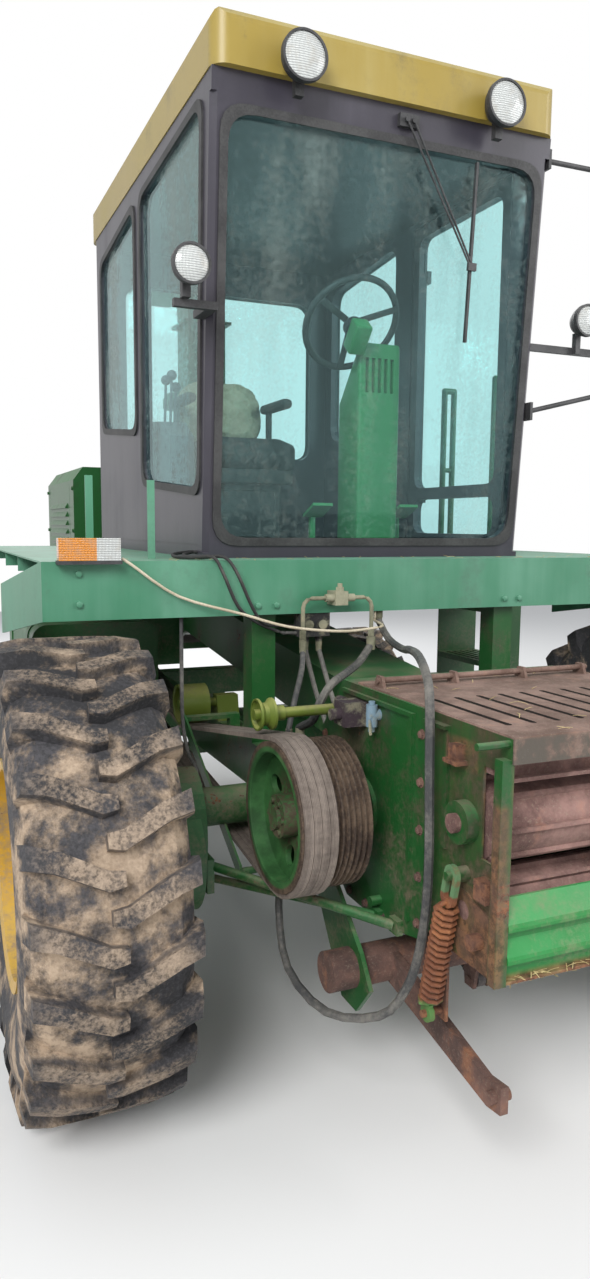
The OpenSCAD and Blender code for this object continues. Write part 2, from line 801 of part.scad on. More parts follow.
module knob() sphere(d = wire_d + 2, $fn = 12);

// Deck and cab

// Front beam, plate, flared skirts, stiffeners and two short posts
module deck() painted(pale_green) {
    difference() {
        box([-deck_half, deck_front, beam_z], [deck_half, deck_front + 60, deck_z]);
        box([-deck_half + 6, deck_front + 6, beam_z - 1], [deck_half - 6, deck_front + 61,
            deck_z - plate_t]);
    }
    box([-deck_half + 6, deck_front + 5, beam_z], [deck_half - 6, deck_front + 60, beam_z + 5]);
    box([-deck_half, deck_front, deck_z - plate_t], [deck_half, deck_end, deck_z]);
    for (y = [900, 1400, deck_end - 60])
        box([-deck_half + 8, y, deck_z - 66], [deck_half - 8, y + 8, deck_z - plate_t + 0.5]);
    both_sides() {
        hull() {
            box([deck_half - 8, deck_front, beam_z], [deck_half, deck_front + 10, deck_z]);
            box([deck_half + 52, 890, beam_z - 116], [deck_half + 60, 900, deck_z - 115]);
        }
        box([rail_in, deck_front + 59, beam_z], [rail_out, deck_end, beam_z + 80]);
        box([rail_in + 30, deck_front + 59, beam_z + 79], [rail_out - 30, deck_end,
            deck_z - plate_t + 0.5]);
    }
    box([-1118, 346, deck_z - 1], [-1092, 354, 1967]);
    box([-901, 346, deck_z - 1], [-875, 354, 1956]);
}

door_front = cab_front + 60;
door_z = deck_z + 40;
door_h = cab_h - 110;
hinge_x = half_cab + 18;
hinge_y = door_front + door_l + 26;
lean = atan2(cab_lean, cab_h);

module cab_side_profile(inset) {
    polygon([
        [cab_front + inset, deck_z + inset], [cab_back - inset, deck_z + inset],
        [cab_back - inset, cab_top - inset], [cab_front - cab_lean + inset, cab_top - inset]
    ]);
}

module windshield_at() {
    translate([0, cab_front, deck_z]) rotate([lean, 0, 0])
        translate([0, 0, cab_h / 2 - 25]) rotate([90, 0, 0]) children();
}

glass_w = cab_w - 109;
glass_h = cab_h - 190;
seal_w = 24;
seal_t = 8;
windshield = [[-glass_w / 2, -glass_h / 2], [glass_w / 2, -glass_h / 2],
    [glass_w / 2, glass_h / 2], [-glass_w / 2, glass_h / 2]];

// Side windows: corners in Y and Z, from the lower front one
front_pane = [[401, deck_z + 250], [1244, deck_z + 316], [1244, cab_top - 102],
    [345, cab_top - 72]];
rear_pane = [[1365, deck_z + 550], [cab_back - 124, deck_z + 625],
    [cab_back - 124, cab_top - 164], [1365, cab_top - 102]];
back_pane = [[-550, deck_z + 510], [550, deck_z + 510], [550, cab_top - 220],
    [-550, cab_top - 220]];

module pane(p, x, t, d = 0) {
    plate_x(x, t, soft(grown(p, d), 85));
}

module windshield_pane(z, t, d = 0) {
    windshield_at() translate([0, 0, z]) linear_extrude(height = t)
        polygon(soft(grown(windshield, d), 100));
}

module cab_frame() painted(cab_grey) {
    difference() {
        rotate([90, 0, 90]) translate([0, 0, -half_cab])
            linear_extrude(height = cab_w) cab_side_profile(0);
        rotate([90, 0, 90]) translate([0, 0, -half_cab + wall_t])
            linear_extrude(height = cab_w - 2 * wall_t) cab_side_profile(wall_t);
        windshield_pane(-wall_t * 1.5, wall_t * 3);
        pane(front_pane, -half_cab - 1, wall_t + 2);
        pane(rear_pane, -half_cab - 1, wall_t + 2);
        pane(rear_pane, half_cab - wall_t - 1, wall_t + 2);
        box([half_cab - wall_t - 1, door_front, door_z], [half_cab + 1, door_front + door_l + 10,
            door_z + door_h]);
        translate([0, cab_back + 1, 0]) rotate([90, 0, 0])
            linear_extrude(height = wall_t + 2) polygon(soft(back_pane, 85));
        // Bevelled front posts
        both_sides() windshield_at() translate([half_cab, 0, 0]) rotate([0, 45, 0])
            translate([-60, -770, -15]) cube([120, 1540, 80]);
        // Groove along the foot
        for (x = [-half_cab - 1, half_cab - 3])
            box([x, cab_front + 60, deck_z + 44], [x + 4, cab_back - 30, deck_z + 50]);
    }
    for (z = [door_z + 200, door_z + door_h - 260]) {
        translate([hinge_x, hinge_y, z]) cylinder(h = 60, d = 14);
        box([half_cab, hinge_y - 9, z - 12], [hinge_x + 9, hinge_y + 9, z]);
        box([half_cab, hinge_y - 9, z + 60], [hinge_x + 9, hinge_y + 9, z + 72]);
    }
}

// Rubber rings round the fixed panes
module window_seals() painted(black) {
    difference() {
        windshield_pane(0, seal_t, seal_w);
        windshield_pane(-1, seal_t + 2, -6);
    }
    for (p = [front_pane, rear_pane]) difference() {
        pane(p, -half_cab - seal_t, seal_t, seal_w);
        pane(p, -half_cab - seal_t - 1, seal_t + 2, -6);
    }
    difference() {
        pane(rear_pane, half_cab, seal_t, seal_w);
        pane(rear_pane, half_cab - 1, seal_t + 2, -6);
    }
    translate([0, cab_back + seal_t, 0]) rotate([90, 0, 0]) linear_extrude(height = seal_t)
        difference() {
            polygon(soft(grown(back_pane, seal_w), 85));
            polygon(soft(grown(back_pane, -6), 85));
        }
}

module cab_roof() painted(roof_yellow) {
    front = cab_front - cab_lean - 30;
    intersection() {
        plate_x(-half_cab - 40, cab_w + 80, [
            [front, cab_top], [roof_back, cab_top], [roof_back, cab_top + 90],
            [roof_back - 60, cab_top + roof_h - 30], [roof_back - 260, cab_top + roof_h],
            [front + 46, cab_top + roof_h], [front + 14, cab_top + roof_h - 8],
            [front + 2, cab_top + roof_h - 26], [front, cab_top + roof_h - 40]
        ]);
        translate([0, (front + roof_back) / 2, cab_top - 1]) linear_extrude(height = roof_h + 2)
            rounded(cab_w + 8, roof_back - front + 0.4, 60);
        translate([0, roof_back + 10, cab_top]) rotate([90, 0, 0])
            linear_extrude(height = roof_back - front + 20) polygon([
                [-half_cab - 20, -2], [half_cab + 20, -2], [half_cab + 20, roof_h - 58],
                [half_cab - 8, roof_h - 14], [half_cab - 40, roof_h + 1],
                [-half_cab + 40, roof_h + 1], [-half_cab + 8, roof_h - 14],
                [-half_cab - 20, roof_h - 58]
            ]);
    }
}

module cab_glass() painted(tint) {
    windshield_pane(-wall_t / 2, glass_t);
    pane(front_pane, -half_cab + 10, glass_t);
    pane(rear_pane, -half_cab + 10, glass_t);
    pane(rear_pane, half_cab - 10 - glass_t, glass_t);
    translate([0, cab_back - 10, 0]) rotate([90, 0, 0])
        linear_extrude(height = glass_t) polygon(soft(back_pane, 85));
}

// Door panes: corners in Y and Z
door_panes = [
    [[door_front + 60, door_z + 270], [door_front + door_l - 55, door_z + 270],
        [door_front + door_l - 55, door_z + door_h - 60], [door_front + 60, door_z + door_h - 60]],
    [[door_front + 60, door_z + 50], [door_front + door_l - 55, door_z + 50],
        [door_front + door_l - 55, door_z + 215], [door_front + 60, door_z + 215]]
];

module door_frame() painted(cab_grey) {
    difference() {
        box([half_cab - wall_t + 2, door_front + 6, door_z + 6],
            [half_cab + 2, door_front + door_l, door_z + door_h - 6]);
        for (p = door_panes) plate_x(half_cab - wall_t - 2, wall_t + 6, soft(p, 60));
    }
    for (z = [door_z + 200, door_z + door_h - 260]) {
        difference() {
            union() {
                translate([hinge_x, hinge_y, z + 1]) cylinder(h = 58, d = 30);
                box([half_cab + 2, door_front + door_l - 60, z + 1], [hinge_x + 6, hinge_y, z + 59]);
            }
            translate([hinge_x, hinge_y, z]) cylinder(h = 60, d = 14 + 2 * running);
        }
    }
    // Latch plate and pull
    box([half_cab + 2, door_front + 16, door_z + 560], [half_cab + 10, door_front + 56,
        door_z + 760]);
    for (z = [door_z + 590, door_z + 712])
        box([half_cab + 9, door_front + 26, z], [half_cab + 40, door_front + 42, z + 18]);
    box([half_cab + 30, door_front + 22, door_z + 590], [half_cab + 42, door_front + 46,
        door_z + 730]);
}

module door_glass() painted(tint) {
    for (p = door_panes) plate_x(half_cab - 16, glass_t, soft(p, 60));
}

wheel_x = 75;
wheel_z = 2635;
wheel_tilt = 25;

module steering_column() painted(green) {
    difference() {
        plate_x(110, 200, [
            [700, deck_z + wall_t], [900, deck_z + wall_t], [860, 2560], [800, 2630], [712, 2620],
            [700, 2590]
        ]);
        // Air vent
        for (z = [2436:22:2568]) box([140, 690, z], [280, 716, z + 11]);
    }
    box([wheel_x - 25, 740, 2440], [111, 820, 2500]);
    translate([wheel_x, 700, wheel_z]) rotate([wheel_tilt, 0, 0]) {
        translate([0, 0, -220]) cylinder(h = 205, d = 40);
        translate([0, 0, -120]) cylinder(h = 60, d = 62);
    }
    // Pedals
    for (x = [-70, 350]) {
        box([x, 790, deck_z + wall_t], [x + 24, 814, 1850]);
        plate_x(x - 34, 92, [[790, 1830], [812, 1850], [690, 1896], [682, 1886]]);
    }
}

module steering_wheel() painted(black) {
    translate([wheel_x, 700, wheel_z]) rotate([wheel_tilt, 0, 0]) {
        rotate_extrude() translate([215, 0]) circle(r = 15, $fn = 16);
        cylinder(h = 30, d = 80, center = true);
        for (a = [90, 210, 330]) rotate([0, 0, a]) translate([0, -14, -6]) cube([210, 28, 12]);
    }
}

// Seat on its box: cushion, back, armrests.
module operator_seat() painted(black) {
    box([-420, 1080, deck_z + wall_t], [-90, 1440, 1990]);
    box([-460, 1040, 1990], [-50, 1470, 2050]);
    box([-490, 1000, 2050], [-20, 1480, 2180]);
    plate_x(-480, 450, [[1430, 2150], [1545, 2150], [1600, 2504], [1528, 2510], [1500, 2480]]);
    for (x = [-520, -50]) {
        box([x, 1180, 2350], [x + 60, 1480, 2395]);
        box([x + 20, 1400, 2120], [x + 40, 1440, 2351]);
    }
    box([-500, 1400, 2120], [-10, 1440, 2160]);
}

// Box of levers beside the seat
module control_console() painted(cab_grey) translate([54.5 - half_cab, 0, 0]) {
    plate_x(0, 108, [
        [980, deck_z + wall_t], [1560, deck_z + wall_t], [1560, 2290], [1120, 2250],
        [1000, 2180]
    ]);
    for (l = [[28, 1090, 1], [62, 1150, 0], [40, 1230, 1]]) {
        rod([l[0], l[1], 2210], [l[0], l[1] - 30, 2390 + l[2] * 40], 12);
        translate([l[0], l[1] - 32, 2400 + l[2] * 40]) sphere(d = 44);
    }
}

// Fittings

// Lamps: place across, place of the back, height and the body's diameter
roof_lamps = [[-405, cab_front - cab_lean - 30, cab_top + 37, 164],
    [405, cab_front - cab_lean - 30, cab_top + 37, 164]];
side_lamps = [[-811, 165, 2631, 130], [937, 330, 2653, 130]];
lamp_depth = 84;

module lamp_at(l) {
    translate([l[0], l[1], l[2]]) rotate([90, 0, 0]) rotate_extrude() children();
}

module lamp_body(d) {
    polygon([
        [0, 6], [d * 0.22, 6], [d * 0.34, 16], [d * 0.44, 40], [d / 2 - 3, 60], [d / 2, 64],
        [d / 2, lamp_depth], [d / 2 - 8, lamp_depth], [d / 2 - 8, lamp_depth - 14],
        [0, lamp_depth - 14]
    ]);
}

module lamps() painted(black) {
    for (l = concat(roof_lamps, side_lamps)) lamp_at(l) lamp_body(l[3]);
    for (l = roof_lamps) {
        box([l[0] - 16, l[1] - 34, l[2] - l[3] / 2 - 26], [l[0] + 16, l[1] - 8, l[2] - 40]);
        translate([l[0], l[1], l[2]]) rotate([90, 0, 0]) cylinder(h = 20, d = 44);
    }
    // Right lamp's bracket on the front post
    box([-845, 175, 2516], [-half_cab - 39, 201, 2542]);
    box([-half_cab - 40, 175, 2516], [-half_cab, 330, 2542]);
    box([-825, 146, 2541], [-797, 176, 2600]);
    // Left lamp's bar
    box([half_cab, 330, 2528], [1046, 352, 2556]);
    box([925, 306, 2528], [949, 331, 2612]);
    // Trays of the signal lamps
    both_sides() box([1046, deck_front - 46, deck_z - 8], [1252, deck_front, deck_z + 4]);
    // Tail lamps' bases
    both_sides() box([560, house_back, 1930], [730, house_back + 8, 2030]);
}

module lamp_lenses() painted([0.9, 0.92, 0.9]) {
    for (l = concat(roof_lamps, side_lamps)) lamp_at(l) polygon([
        [0, lamp_depth - 14], [l[3] / 2 - 8.3, lamp_depth - 14],
        [l[3] / 2 - 8.3, lamp_depth - 5], [l[3] * 0.3, lamp_depth + 2],
        [l[3] * 0.16, lamp_depth + 6], [0, lamp_depth + 7]
    ]);
    both_sides() box([1050, deck_front - 44, deck_z + 4], [1128, deck_front - 4, deck_z + 76]);
}

module signal_lamps() painted([0.85, 0.45, 0.08]) both_sides() {
    box([1128, deck_front - 44, deck_z + 4], [1248, deck_front - 4, deck_z + 76]);
    box([566, house_back + 8, 1936], [724, house_back + 28, 2024]);
}

module wiper() painted(black) {
    windshield_at() translate([0, glass_h / 2, 0]) {
        translate([10, 52, 0]) cube([80, 44, 22]);
        for (x = [36, 64]) {
            translate([x, 74, 0]) cylinder(h = 34, d = 18);
            rod([x, 74, 28], [x * 0.4 + 335, -390, 22], 8, 12);
        }
        translate([340, -404, 12]) cube([36, 28, 14]);
        translate([353, -667, -0.02]) cube([10, 652, 14]);
    }
}

mirror_x = 1160;
mirror_low = 2600;
mirror_high = 3050;

// Left mirror on a stem between two arms
module mirrors() painted(black) {
    for (arm = [[316, 2278, 2390], [262, cab_top - 70, cab_top - 48]]) {
        rod([half_cab + 4, arm[0], arm[1]], [mirror_x, 302, arm[2]], 20);
        box([half_cab, arm[0] - 24, arm[1] - 36], [half_cab + 12, arm[0] + 24, arm[1] + 36]);
    }
    translate([mirror_x, 302, 2370]) cylinder(h = cab_top - 2400, d = 24);
    difference() {
        translate([mirror_x, 288, (mirror_low + mirror_high) / 2]) rotate([90, 0, 0])
            linear_extrude(height = 30) rounded(220, mirror_high - mirror_low, 34);
        translate([mirror_x, 262, (mirror_low + mirror_high) / 2]) rotate([90, 0, 0])
            linear_extrude(height = 10) rounded(196, mirror_high - mirror_low - 24, 26);
    }
    for (z = [mirror_low + 90, mirror_high - 118])
        box([mirror_x - 20, 280, z], [mirror_x + 20, 304, z + 28]);
}

// Ladder, with its handrails on the deck
module ladder() painted(green) {
    for (z = [440, 740, 1040, 1340]) difference() {
        box([1180, step_front, z], [1440, step_front + step_l, z + 30]);
        for (x = [1205:44:1400])
            box([x, step_front + 40, z - 1], [x + 22, step_front + step_l - 40, z + 31]);
    }
    for (y = [step_front, step_front + step_l - 10])
        box([1180, y, 430], [1440, y + 10, beam_z]);
    box([1180, step_front, beam_z - 40], [1340, step_front + step_l, beam_z]);
    for (y = [step_front - 24, step_front + step_l + 24]) {
        translate([1260, y, deck_z]) cylinder(h = 900, d = 34);
        bar_x(1197, 1260, y, deck_z + 900, 34);
        for (x = [1197, 1260]) translate([x, y, deck_z + 900]) sphere(d = 34.4);
        translate([1197, y, deck_z]) cylinder(h = 900, d = 34);
        bar_x(1197, 1260, y, deck_z + 450, 26);
        box([1172, y - 24, deck_z], [1285, y + 24, deck_z + 8]);
    }
}

module fuel_tank() painted(green) {
    translate([-(tank_in + tank_out) / 2, tank_front + tank_l, tank_z + tank_h / 2])
        rotate([90, 0, 0]) {
            linear_extrude(height = tank_l) rounded(tank_out - tank_in, tank_h, 60);
            // Straps round the sides and top
            for (y = [120, tank_l - 160]) translate([0, 0, y]) linear_extrude(height = 40)
                difference() {
                    rounded(tank_out - tank_in + 10, tank_h + 10, 65);
                    rounded(tank_out - tank_in - 4, tank_h - 4, 58);
                    translate([-400, -tank_h / 2 - 20]) square([800, 20]);
                }
        }
    translate([-1000, tank_front + 150, tank_z + tank_h - 5]) {
        cylinder(h = 40, d = 80);
        translate([0, 0, 30]) cylinder(h = 26, d = 100);
    }
}

// Engine end

house_back = rear_end - 40;
house_half = 750;
house_z = 1180;
house_h = 970;
sheet_t = 8;
screen_y = house_front + 520;
screen_z = 1690;
screen_r = 350;

module engine_block() painted(steel) {
    box([-300, house_front + 70, 1060], [300, house_back - 190, 1780]);
    for (y = [house_front + 130, house_back - 350]) box([-rail_out, y, rail_top], [rail_out, y + 90, 1060]);
}

module house_outline(inset) {
    polygon([
        [-house_half + inset, 0], [house_half - inset, 0], [house_half - inset, house_h - 80],
        [house_half - 60 - inset * 0.4, house_h - inset],
        [-house_half + 60 + inset * 0.4, house_h - inset], [-house_half + inset, house_h - 80]
    ]);
}

module engine_housing() painted(green) {
    difference() {
        translate([0, house_back, house_z]) rotate([90, 0, 0])
            linear_extrude(height = house_back - house_front) house_outline(0);
        translate([0, house_back - sheet_t, house_z - 1]) rotate([90, 0, 0])
            linear_extrude(height = house_back - house_front - 2 * sheet_t) house_outline(sheet_t);
        box([sheave_x - 20, house_front - 1, house_z - 1],
            [sheave_x + belt_w + 40, house_front + sheet_t + 1, 1480]);
        box([-420, house_back - 20, house_z + 190], [420, house_back + 1, house_z + 640]);
        bar_x(house_half - 20, house_half + 1, screen_y, screen_z, 2 * screen_r - 60);
        // Joints between the side doors, and round the top hatch
        for (x = [-house_half - 1, house_half - 2], y = [house_front + 150, house_back - 100])
            box([x, y, house_z + 30], [x + 3, y + 5, house_z + house_h - 100]);
        for (y = [house_front + 260, house_back - 200])
            box([-620, y, house_z + house_h - 2.5], [620, y + 5, house_z + house_h + 1]);
        for (x = [-620, 615])
            box([x, house_front + 260, house_z + house_h - 2.5], [x + 5, house_back - 195,
                house_z + house_h + 1]);
    }
    for (y = [house_front + 480, house_back - 110]) both_sides()
        box([rail_in, y, rail_top], [house_half, y + 40, house_z]);
    // Louvres of the right side
    for (i = [0:8]) translate([-house_half, house_back - 150, house_z + 290 + i * 54])
        rotate([90, 0, 0]) linear_extrude(height = 700)
            polygon([[1, 0], [-16, 0], [-16, 5], [1, 34]]);
    // Grille bars of the back
    for (i = [0:7])
        box([-424, house_back - 16, house_z + 214 + i * 54], [424, house_back - 6,
            house_z + 232 + i * 54]);
    for (x = [-150, 140])
        box([x, house_back - 8, house_z + 186], [x + 10, house_back - 2, house_z + 644]);
    // Door pulls
    for (y = [house_front + 190, house_back - 230])
        box([-house_half - 22, y, house_z + 160], [-house_half + 1, y + 100, house_z + 182]);
    // Spindle of the rotary screen, on its crossbar
    bar_x(house_half - sheet_t - 14, house_half + 40, screen_y, screen_z, 40);
    box([house_half - sheet_t - 14, screen_y - screen_r, screen_z - 15],
        [house_half - sheet_t, screen_y + screen_r, screen_z + 15]);
}

// Air screen on its spindle
module rotary_screen() painted(steel) {
    translate([0, screen_y, screen_z]) difference() {
        union() {
            turned_x([
                [screen_r - 26, house_half + 10], [screen_r, house_half + 6],
                [screen_r, house_half + 60], [screen_r - 8, house_half + 64],
                [screen_r - 26, house_half + 64]
            ]);
            turned_x([[0, house_half + 46], [screen_r - 20, house_half + 46],
                [screen_r - 20, house_half + 52], [0, house_half + 52]]);
            bar_x(house_half + 10, house_half + 66, 0, 0, 120);
            for (i = [0:11]) rotate([i * 30, 0, 0])
                box([house_half + 51, -4, 50], [house_half + 60, 4, screen_r - 15]);
        }
        bar_x(house_half, house_half + 45, 0, 0, 40 + 2 * running);
        for (i = [0:11], r = [110:44:290]) rotate([i * 30 + 15, 0, 0])
            bar_x(house_half + 40, house_half + 58, 0, r, 30 + (r - 110) * 0.06);
    }
}

turn_d = 470;
turn_bore = 360;
blower_r = 300;
blower_z = 1430;

module blower_housing() painted(green) {
    difference() {
        union() {
            bar_x(-180, 180, blower_y, blower_z, 2 * blower_r);
            for (x = [-188, 168]) bar_x(x, x + 20, blower_y, blower_z, 2 * blower_r + 16);
            box([-duct_side / 2, spout_y - duct_side / 2, blower_z],
                [duct_side / 2, spout_y + duct_side / 2, turn_z - 52]);
            for (z = [1800, 2150]) box([-duct_side / 2 - 12, spout_y - duct_side / 2 - 12, z],
                [duct_side / 2 + 12, spout_y + duct_side / 2 + 12, z + 12]);
            translate([0, spout_y, turn_z - 52]) cylinder(h = 13, d = turn_d);
        }
        duct_body(0);
        bar_x(-172, 172, blower_y, blower_z, 2 * blower_r - 16);
        box([-duct_side / 2 + 6, spout_y - duct_side / 2 + 6, blower_z],
            [duct_side / 2 - 6, spout_y + duct_side / 2 - 6, turn_z - 30]);
    }
    translate([0, spout_y, turn_z - 40]) difference() {
        cylinder(h = 40, d = turn_d);
        translate([0, 0, -1]) cylinder(h = 60, d = turn_bore);
    }
    for (x = [-rail_in, 187])
        box([x, blower_y - 60, rail_top - 60], [x + rail_in - 187, blower_y - 20, blower_z]);
}

module exhaust_stack() painted(steel) {
    translate([-450, house_front + 270, house_z + house_h]) {
        cylinder(h = 12, d = 180);
        cylinder(h = 520, d = 150);
        cylinder(h = 760, d = 76);
    }
}

pipe_y = deck_front - 54;
tee_z = deck_z - 135;

// Steel fittings: tee with its two bent pipes, valve blocks and ports.
module valve_manifold() painted(steel) {
    box([-290, deck_front - 72, tee_z - 26], [-240, deck_front, tee_z + 24]);
    translate([-265, pipe_y, tee_z]) {
        cylinder(h = 52, d = 18);
        translate([0, 0, 24]) cylinder(h = 14, d = 32, $fn = 6);
    }
    for (s = [[-1, -409], [1, -135]]) {
        x = s[1];
        hose([[-265 + s[0] * 20, pipe_y, tee_z], [x - s[0] * 34, pipe_y, tee_z],
            [x - s[0] * 17, pipe_y, tee_z - 5], [x - s[0] * 5, pipe_y, tee_z - 17],
            [x, pipe_y, tee_z - 34], [x, pipe_y, 1398]], 15, 12);
        translate([x, pipe_y, 1400]) cylinder(h = 30, d = 26, $fn = 6);
    }
    bar_x(-322, -288, pipe_y, tee_z, 28);
    bar_x(-242, -208, pipe_y, tee_z, 28);
    // Block under the deck's beam
    box([-395, deck_front + 6, 1400], [-275, deck_front + 56, beam_z]);
    for (x = [-362, -308]) {
        translate([x, deck_front + 7, 1445]) rotate([90, 0, 0]) cylinder(h = 16, d = 34);
        translate([x, deck_front + 30, 1390]) cylinder(h = 20, d = 28);
    }
    // Solenoid valve over the sheave
    box([-492, -422, 1196], [-416, -344, 1270]);
    for (z = [1216, 1250]) translate([-454, -344.5, z]) rotate([-90, 0, 0]) {
        cylinder(h = 50, d = 28);
        translate([0, 0, 6]) cylinder(h = 38, d = 44);
    }
    bar_x(-524, -490, -384, 1232, 36);
    // Shut-off valve with its lever
    bar_x(-452, -416, -493, 1246, 34);
    translate([-441, -493, 1212]) cylinder(h = 66, d = 34);
    translate([-441, -493, 1196]) cylinder(h = 92, d = 20);
    rod([-452, -500, 1236], [-480, -560, 1206], 9, 12);
    // Ports on the front end of the right rail
    box([-560, -126, rail_top], [-480, -70, rail_top + 42]);
    for (x = [-540, -500]) translate([x, -98, rail_top + 41]) cylinder(h = 24, d = 28, $fn = 6);
    translate([-545, -110, rail_z - 22]) cylinder(h = 22, d = 28, $fn = 6);
}

// Hoses and black cables: diameter and the points that they follow
hose_lines = [
    [26, [[-60, 176, 1486.6], [-60, 176, 1450], [-90, 40, 1395], [-160, -180, 1390],
        [-260, -400, 1420], [-350, -600, 1432], [-425, -770, 1400], [-450, -826, 1330],
        [-450, -834, 1140], [-444, -832, 860], [-440, -792, 650], [-446, -730, 500],
        [-500, -680, 410], [-600, -540, 370], [-640, -340, 420], [-615, -200, 560],
        [-575, -140, 700], [-545, -110, 770], [-545, -110, 827.6]]],
    [20, [[-409, pipe_y, 1397.6], [-409, pipe_y, 1360], [-430, 50, 1300], [-500, -50, 1210],
        [-540, -98, 1130], [-540, -98, 1080.6]]],
    [28, [[-135, pipe_y, 1397.6], [-135, pipe_y, 1370], [-210, 40, 1315], [-330, -90, 1300],
        [-430, -196, 1290], [-476, -206, 1236], [-490, -180, 1170], [-500, -98, 1130],
        [-500, -98, 1080.6]]],
    for (x = [0, 1]) [18, [[-362 + 54 * x, 176, 1389.4], [-362 + 54 * x, 174, 1350],
        [-350 + 58 * x, 100, 1200], [-332 + 58 * x, 20, 1060], [-330 + 58 * x, 0, 990],
        [-330 + 58 * x, 0, 950.4]]],
    [14, [[-830, 176, 1486], [-830, 176, 1300], [-830, 170, 1130], [-830, 110, 1030],
        [-830, 20, 1000], [-830, 0, 975], [-830, 0, 950.4]]],
    for (k = [0, 1]) [12, [[-695, 430 + 40 * k, 1700], [-712, 430 + 40 * k, 1700],
        [-760 - 30 * k, 380 + 30 * k, 1694],
        [-770 - 40 * k, 310, 1688], [-740 - 40 * k, 205, 1688], [-690 - 40 * k, 130, 1692],
        [-650 - 50 * k, 112, 1640], [-590 - 50 * k, 124, 1520], [-540 - 20 * k, 140, 1458],
        [-450, 184, 1440 - 24 * k], [-396, 182, 1436 - 24 * k]]]
];

module hydraulic_hoses() painted(black) {
    for (l = hose_lines) hose(smooth(led(l[1]), len(l[1]) > 12 ? 3 : 4), l[0]);
}

module lamp_cable() painted([0.85, 0.82, 0.7]) {
    hose(smooth(led([[-1043, 124, 1690], [-1010, 124, 1668], [-850, 128, 1560],
        [-632, 100, 1496], [-480, 50, 1452], [-300, 30, 1432], [-180, 40, 1434],
        [-100, 70, 1440], [-84, 160, 1450], [-84, 160, 1486.6]]), 4), 10);
}

// Wheels

module front_wheel_place(side) {
    translate([side * front_track / 2, 0, front_r]) mirror([side < 0 ? 1 : 0, 0, 0]) children();
}

module rear_wheel_place(side) {
    translate([side * rear_track / 2, wheelbase, rear_r])
        mirror([side < 0 ? 1 : 0, 0, 0]) children();
}

module front_rim() {
    rim(front_rim_d, front_tyre_w, 200, front_hub_in - front_track / 2, 40, front_spindle);
}

rear_spindle = 66;
rear_hub_in = 985;

module rear_rim() {
    rim(rear_rim_d, rear_tyre_w, 150, rear_hub_in - rear_track / 2, 40, rear_spindle);
}

module front_tyre() {
    tyre(front_tyre_d, front_tyre_w, front_rim_d, front_lugs, front_lug_h);
}

module rear_tyre() {
    tyre(rear_tyre_d, rear_tyre_w, rear_rim_d, rear_lugs, rear_lug_h);
}

module front_rim_right() painted(rim_yellow) front_wheel_place(-1) front_rim();
module front_rim_left() painted(rim_yellow) front_wheel_place(1) front_rim();
module front_tyre_right() painted(tyre_grey) front_wheel_place(-1) front_tyre();
module front_tyre_left() painted(tyre_grey) front_wheel_place(1) front_tyre();
module rear_rim_right() painted(rim_yellow) rear_wheel_place(-1) rear_rim();
module rear_rim_left() painted(rim_yellow) rear_wheel_place(1) rear_rim();
module rear_tyre_right() painted(tyre_grey) rear_wheel_place(-1) rear_tyre();
module rear_tyre_left() painted(tyre_grey) rear_wheel_place(1) rear_tyre();

// Steering knuckle on the machine's left side.
module knuckle() {
    cheek = 22;
    gap = 1;
    translate([kingpin_x, wheelbase, rear_r]) {
        translate([0, 0, -boss_half - gap - cheek])
            cylinder(h = 2 * (boss_half + gap + cheek), d = kingpin_d);
        for (z = [-boss_half - gap - cheek, boss_half + gap])
            translate([0, 0, z]) {
                cylinder(h = cheek, d = boss_d);
                translate([0, -40, 0]) cube([boss_d / 2 + 16, 80, cheek]);
            }
        translate([boss_d / 2 + 6, -40, -boss_half - gap - cheek])
            cube([20, 80, 2 * (boss_half + gap + cheek)]);
        bar_x(boss_d / 2 + 20, rear_track / 2 - kingpin_x - 60, 0, 0, rear_spindle);
        // Steering arm
        translate([0, 0, -boss_half - gap - cheek]) difference() {
            union() {
                translate([-20, 0, 0]) cube([40, arm_y, cheek]);
                translate([0, arm_y, 0]) cylinder(h = cheek, d = 48);
            }
        }
        translate([0, arm_y, -boss_half - gap - cheek - 40]) cylinder(h = 40, d = 20);
    }
}

module knuckle_right() painted(green) mirror([1, 0, 0]) knuckle();
module knuckle_left() painted(green) knuckle();

module tie_rod() painted(steel) {
    z = rear_r - boss_half - 1 - 22 - 20;
    difference() {
        union() {
            bar_x(-kingpin_x, kingpin_x, wheelbase + arm_y, z, 28);
            both_sides() translate([kingpin_x, wheelbase + arm_y, z - 16])
                cylinder(h = 32, d = 44);
        }
        both_sides() translate([kingpin_x, wheelbase + arm_y, z - 17])
            cylinder(h = 34, d = 20 + 2 * running);
    }
}

// Spout: a square duct that ends in a hinged cap
bend_r = 560;
bend_drop = 10;
spout_rise = 3000;
spout_run = 480;
spout_half = duct_side / 2 - 10;
duct_t = 5;
cap_pin_d = 16;
cap_pin_y = spout_run - 20;
cap_pin_z = spout_half - 55;
cap_gap = 12;
cap_l = 260;

// Frame of the straight end: Y runs out along the duct
module spout_end() {
    translate([0, spout_y + bend_r + bend_r * sin(bend_drop),
        spout_rise + 1.3 + bend_r * cos(bend_drop)])
        rotate([-bend_drop, 0, 0]) children();
}

module duct_outline() {
    difference() {
        square(2 * spout_half, center = true);
        square(2 * (spout_half - duct_t), center = true);
    }
}

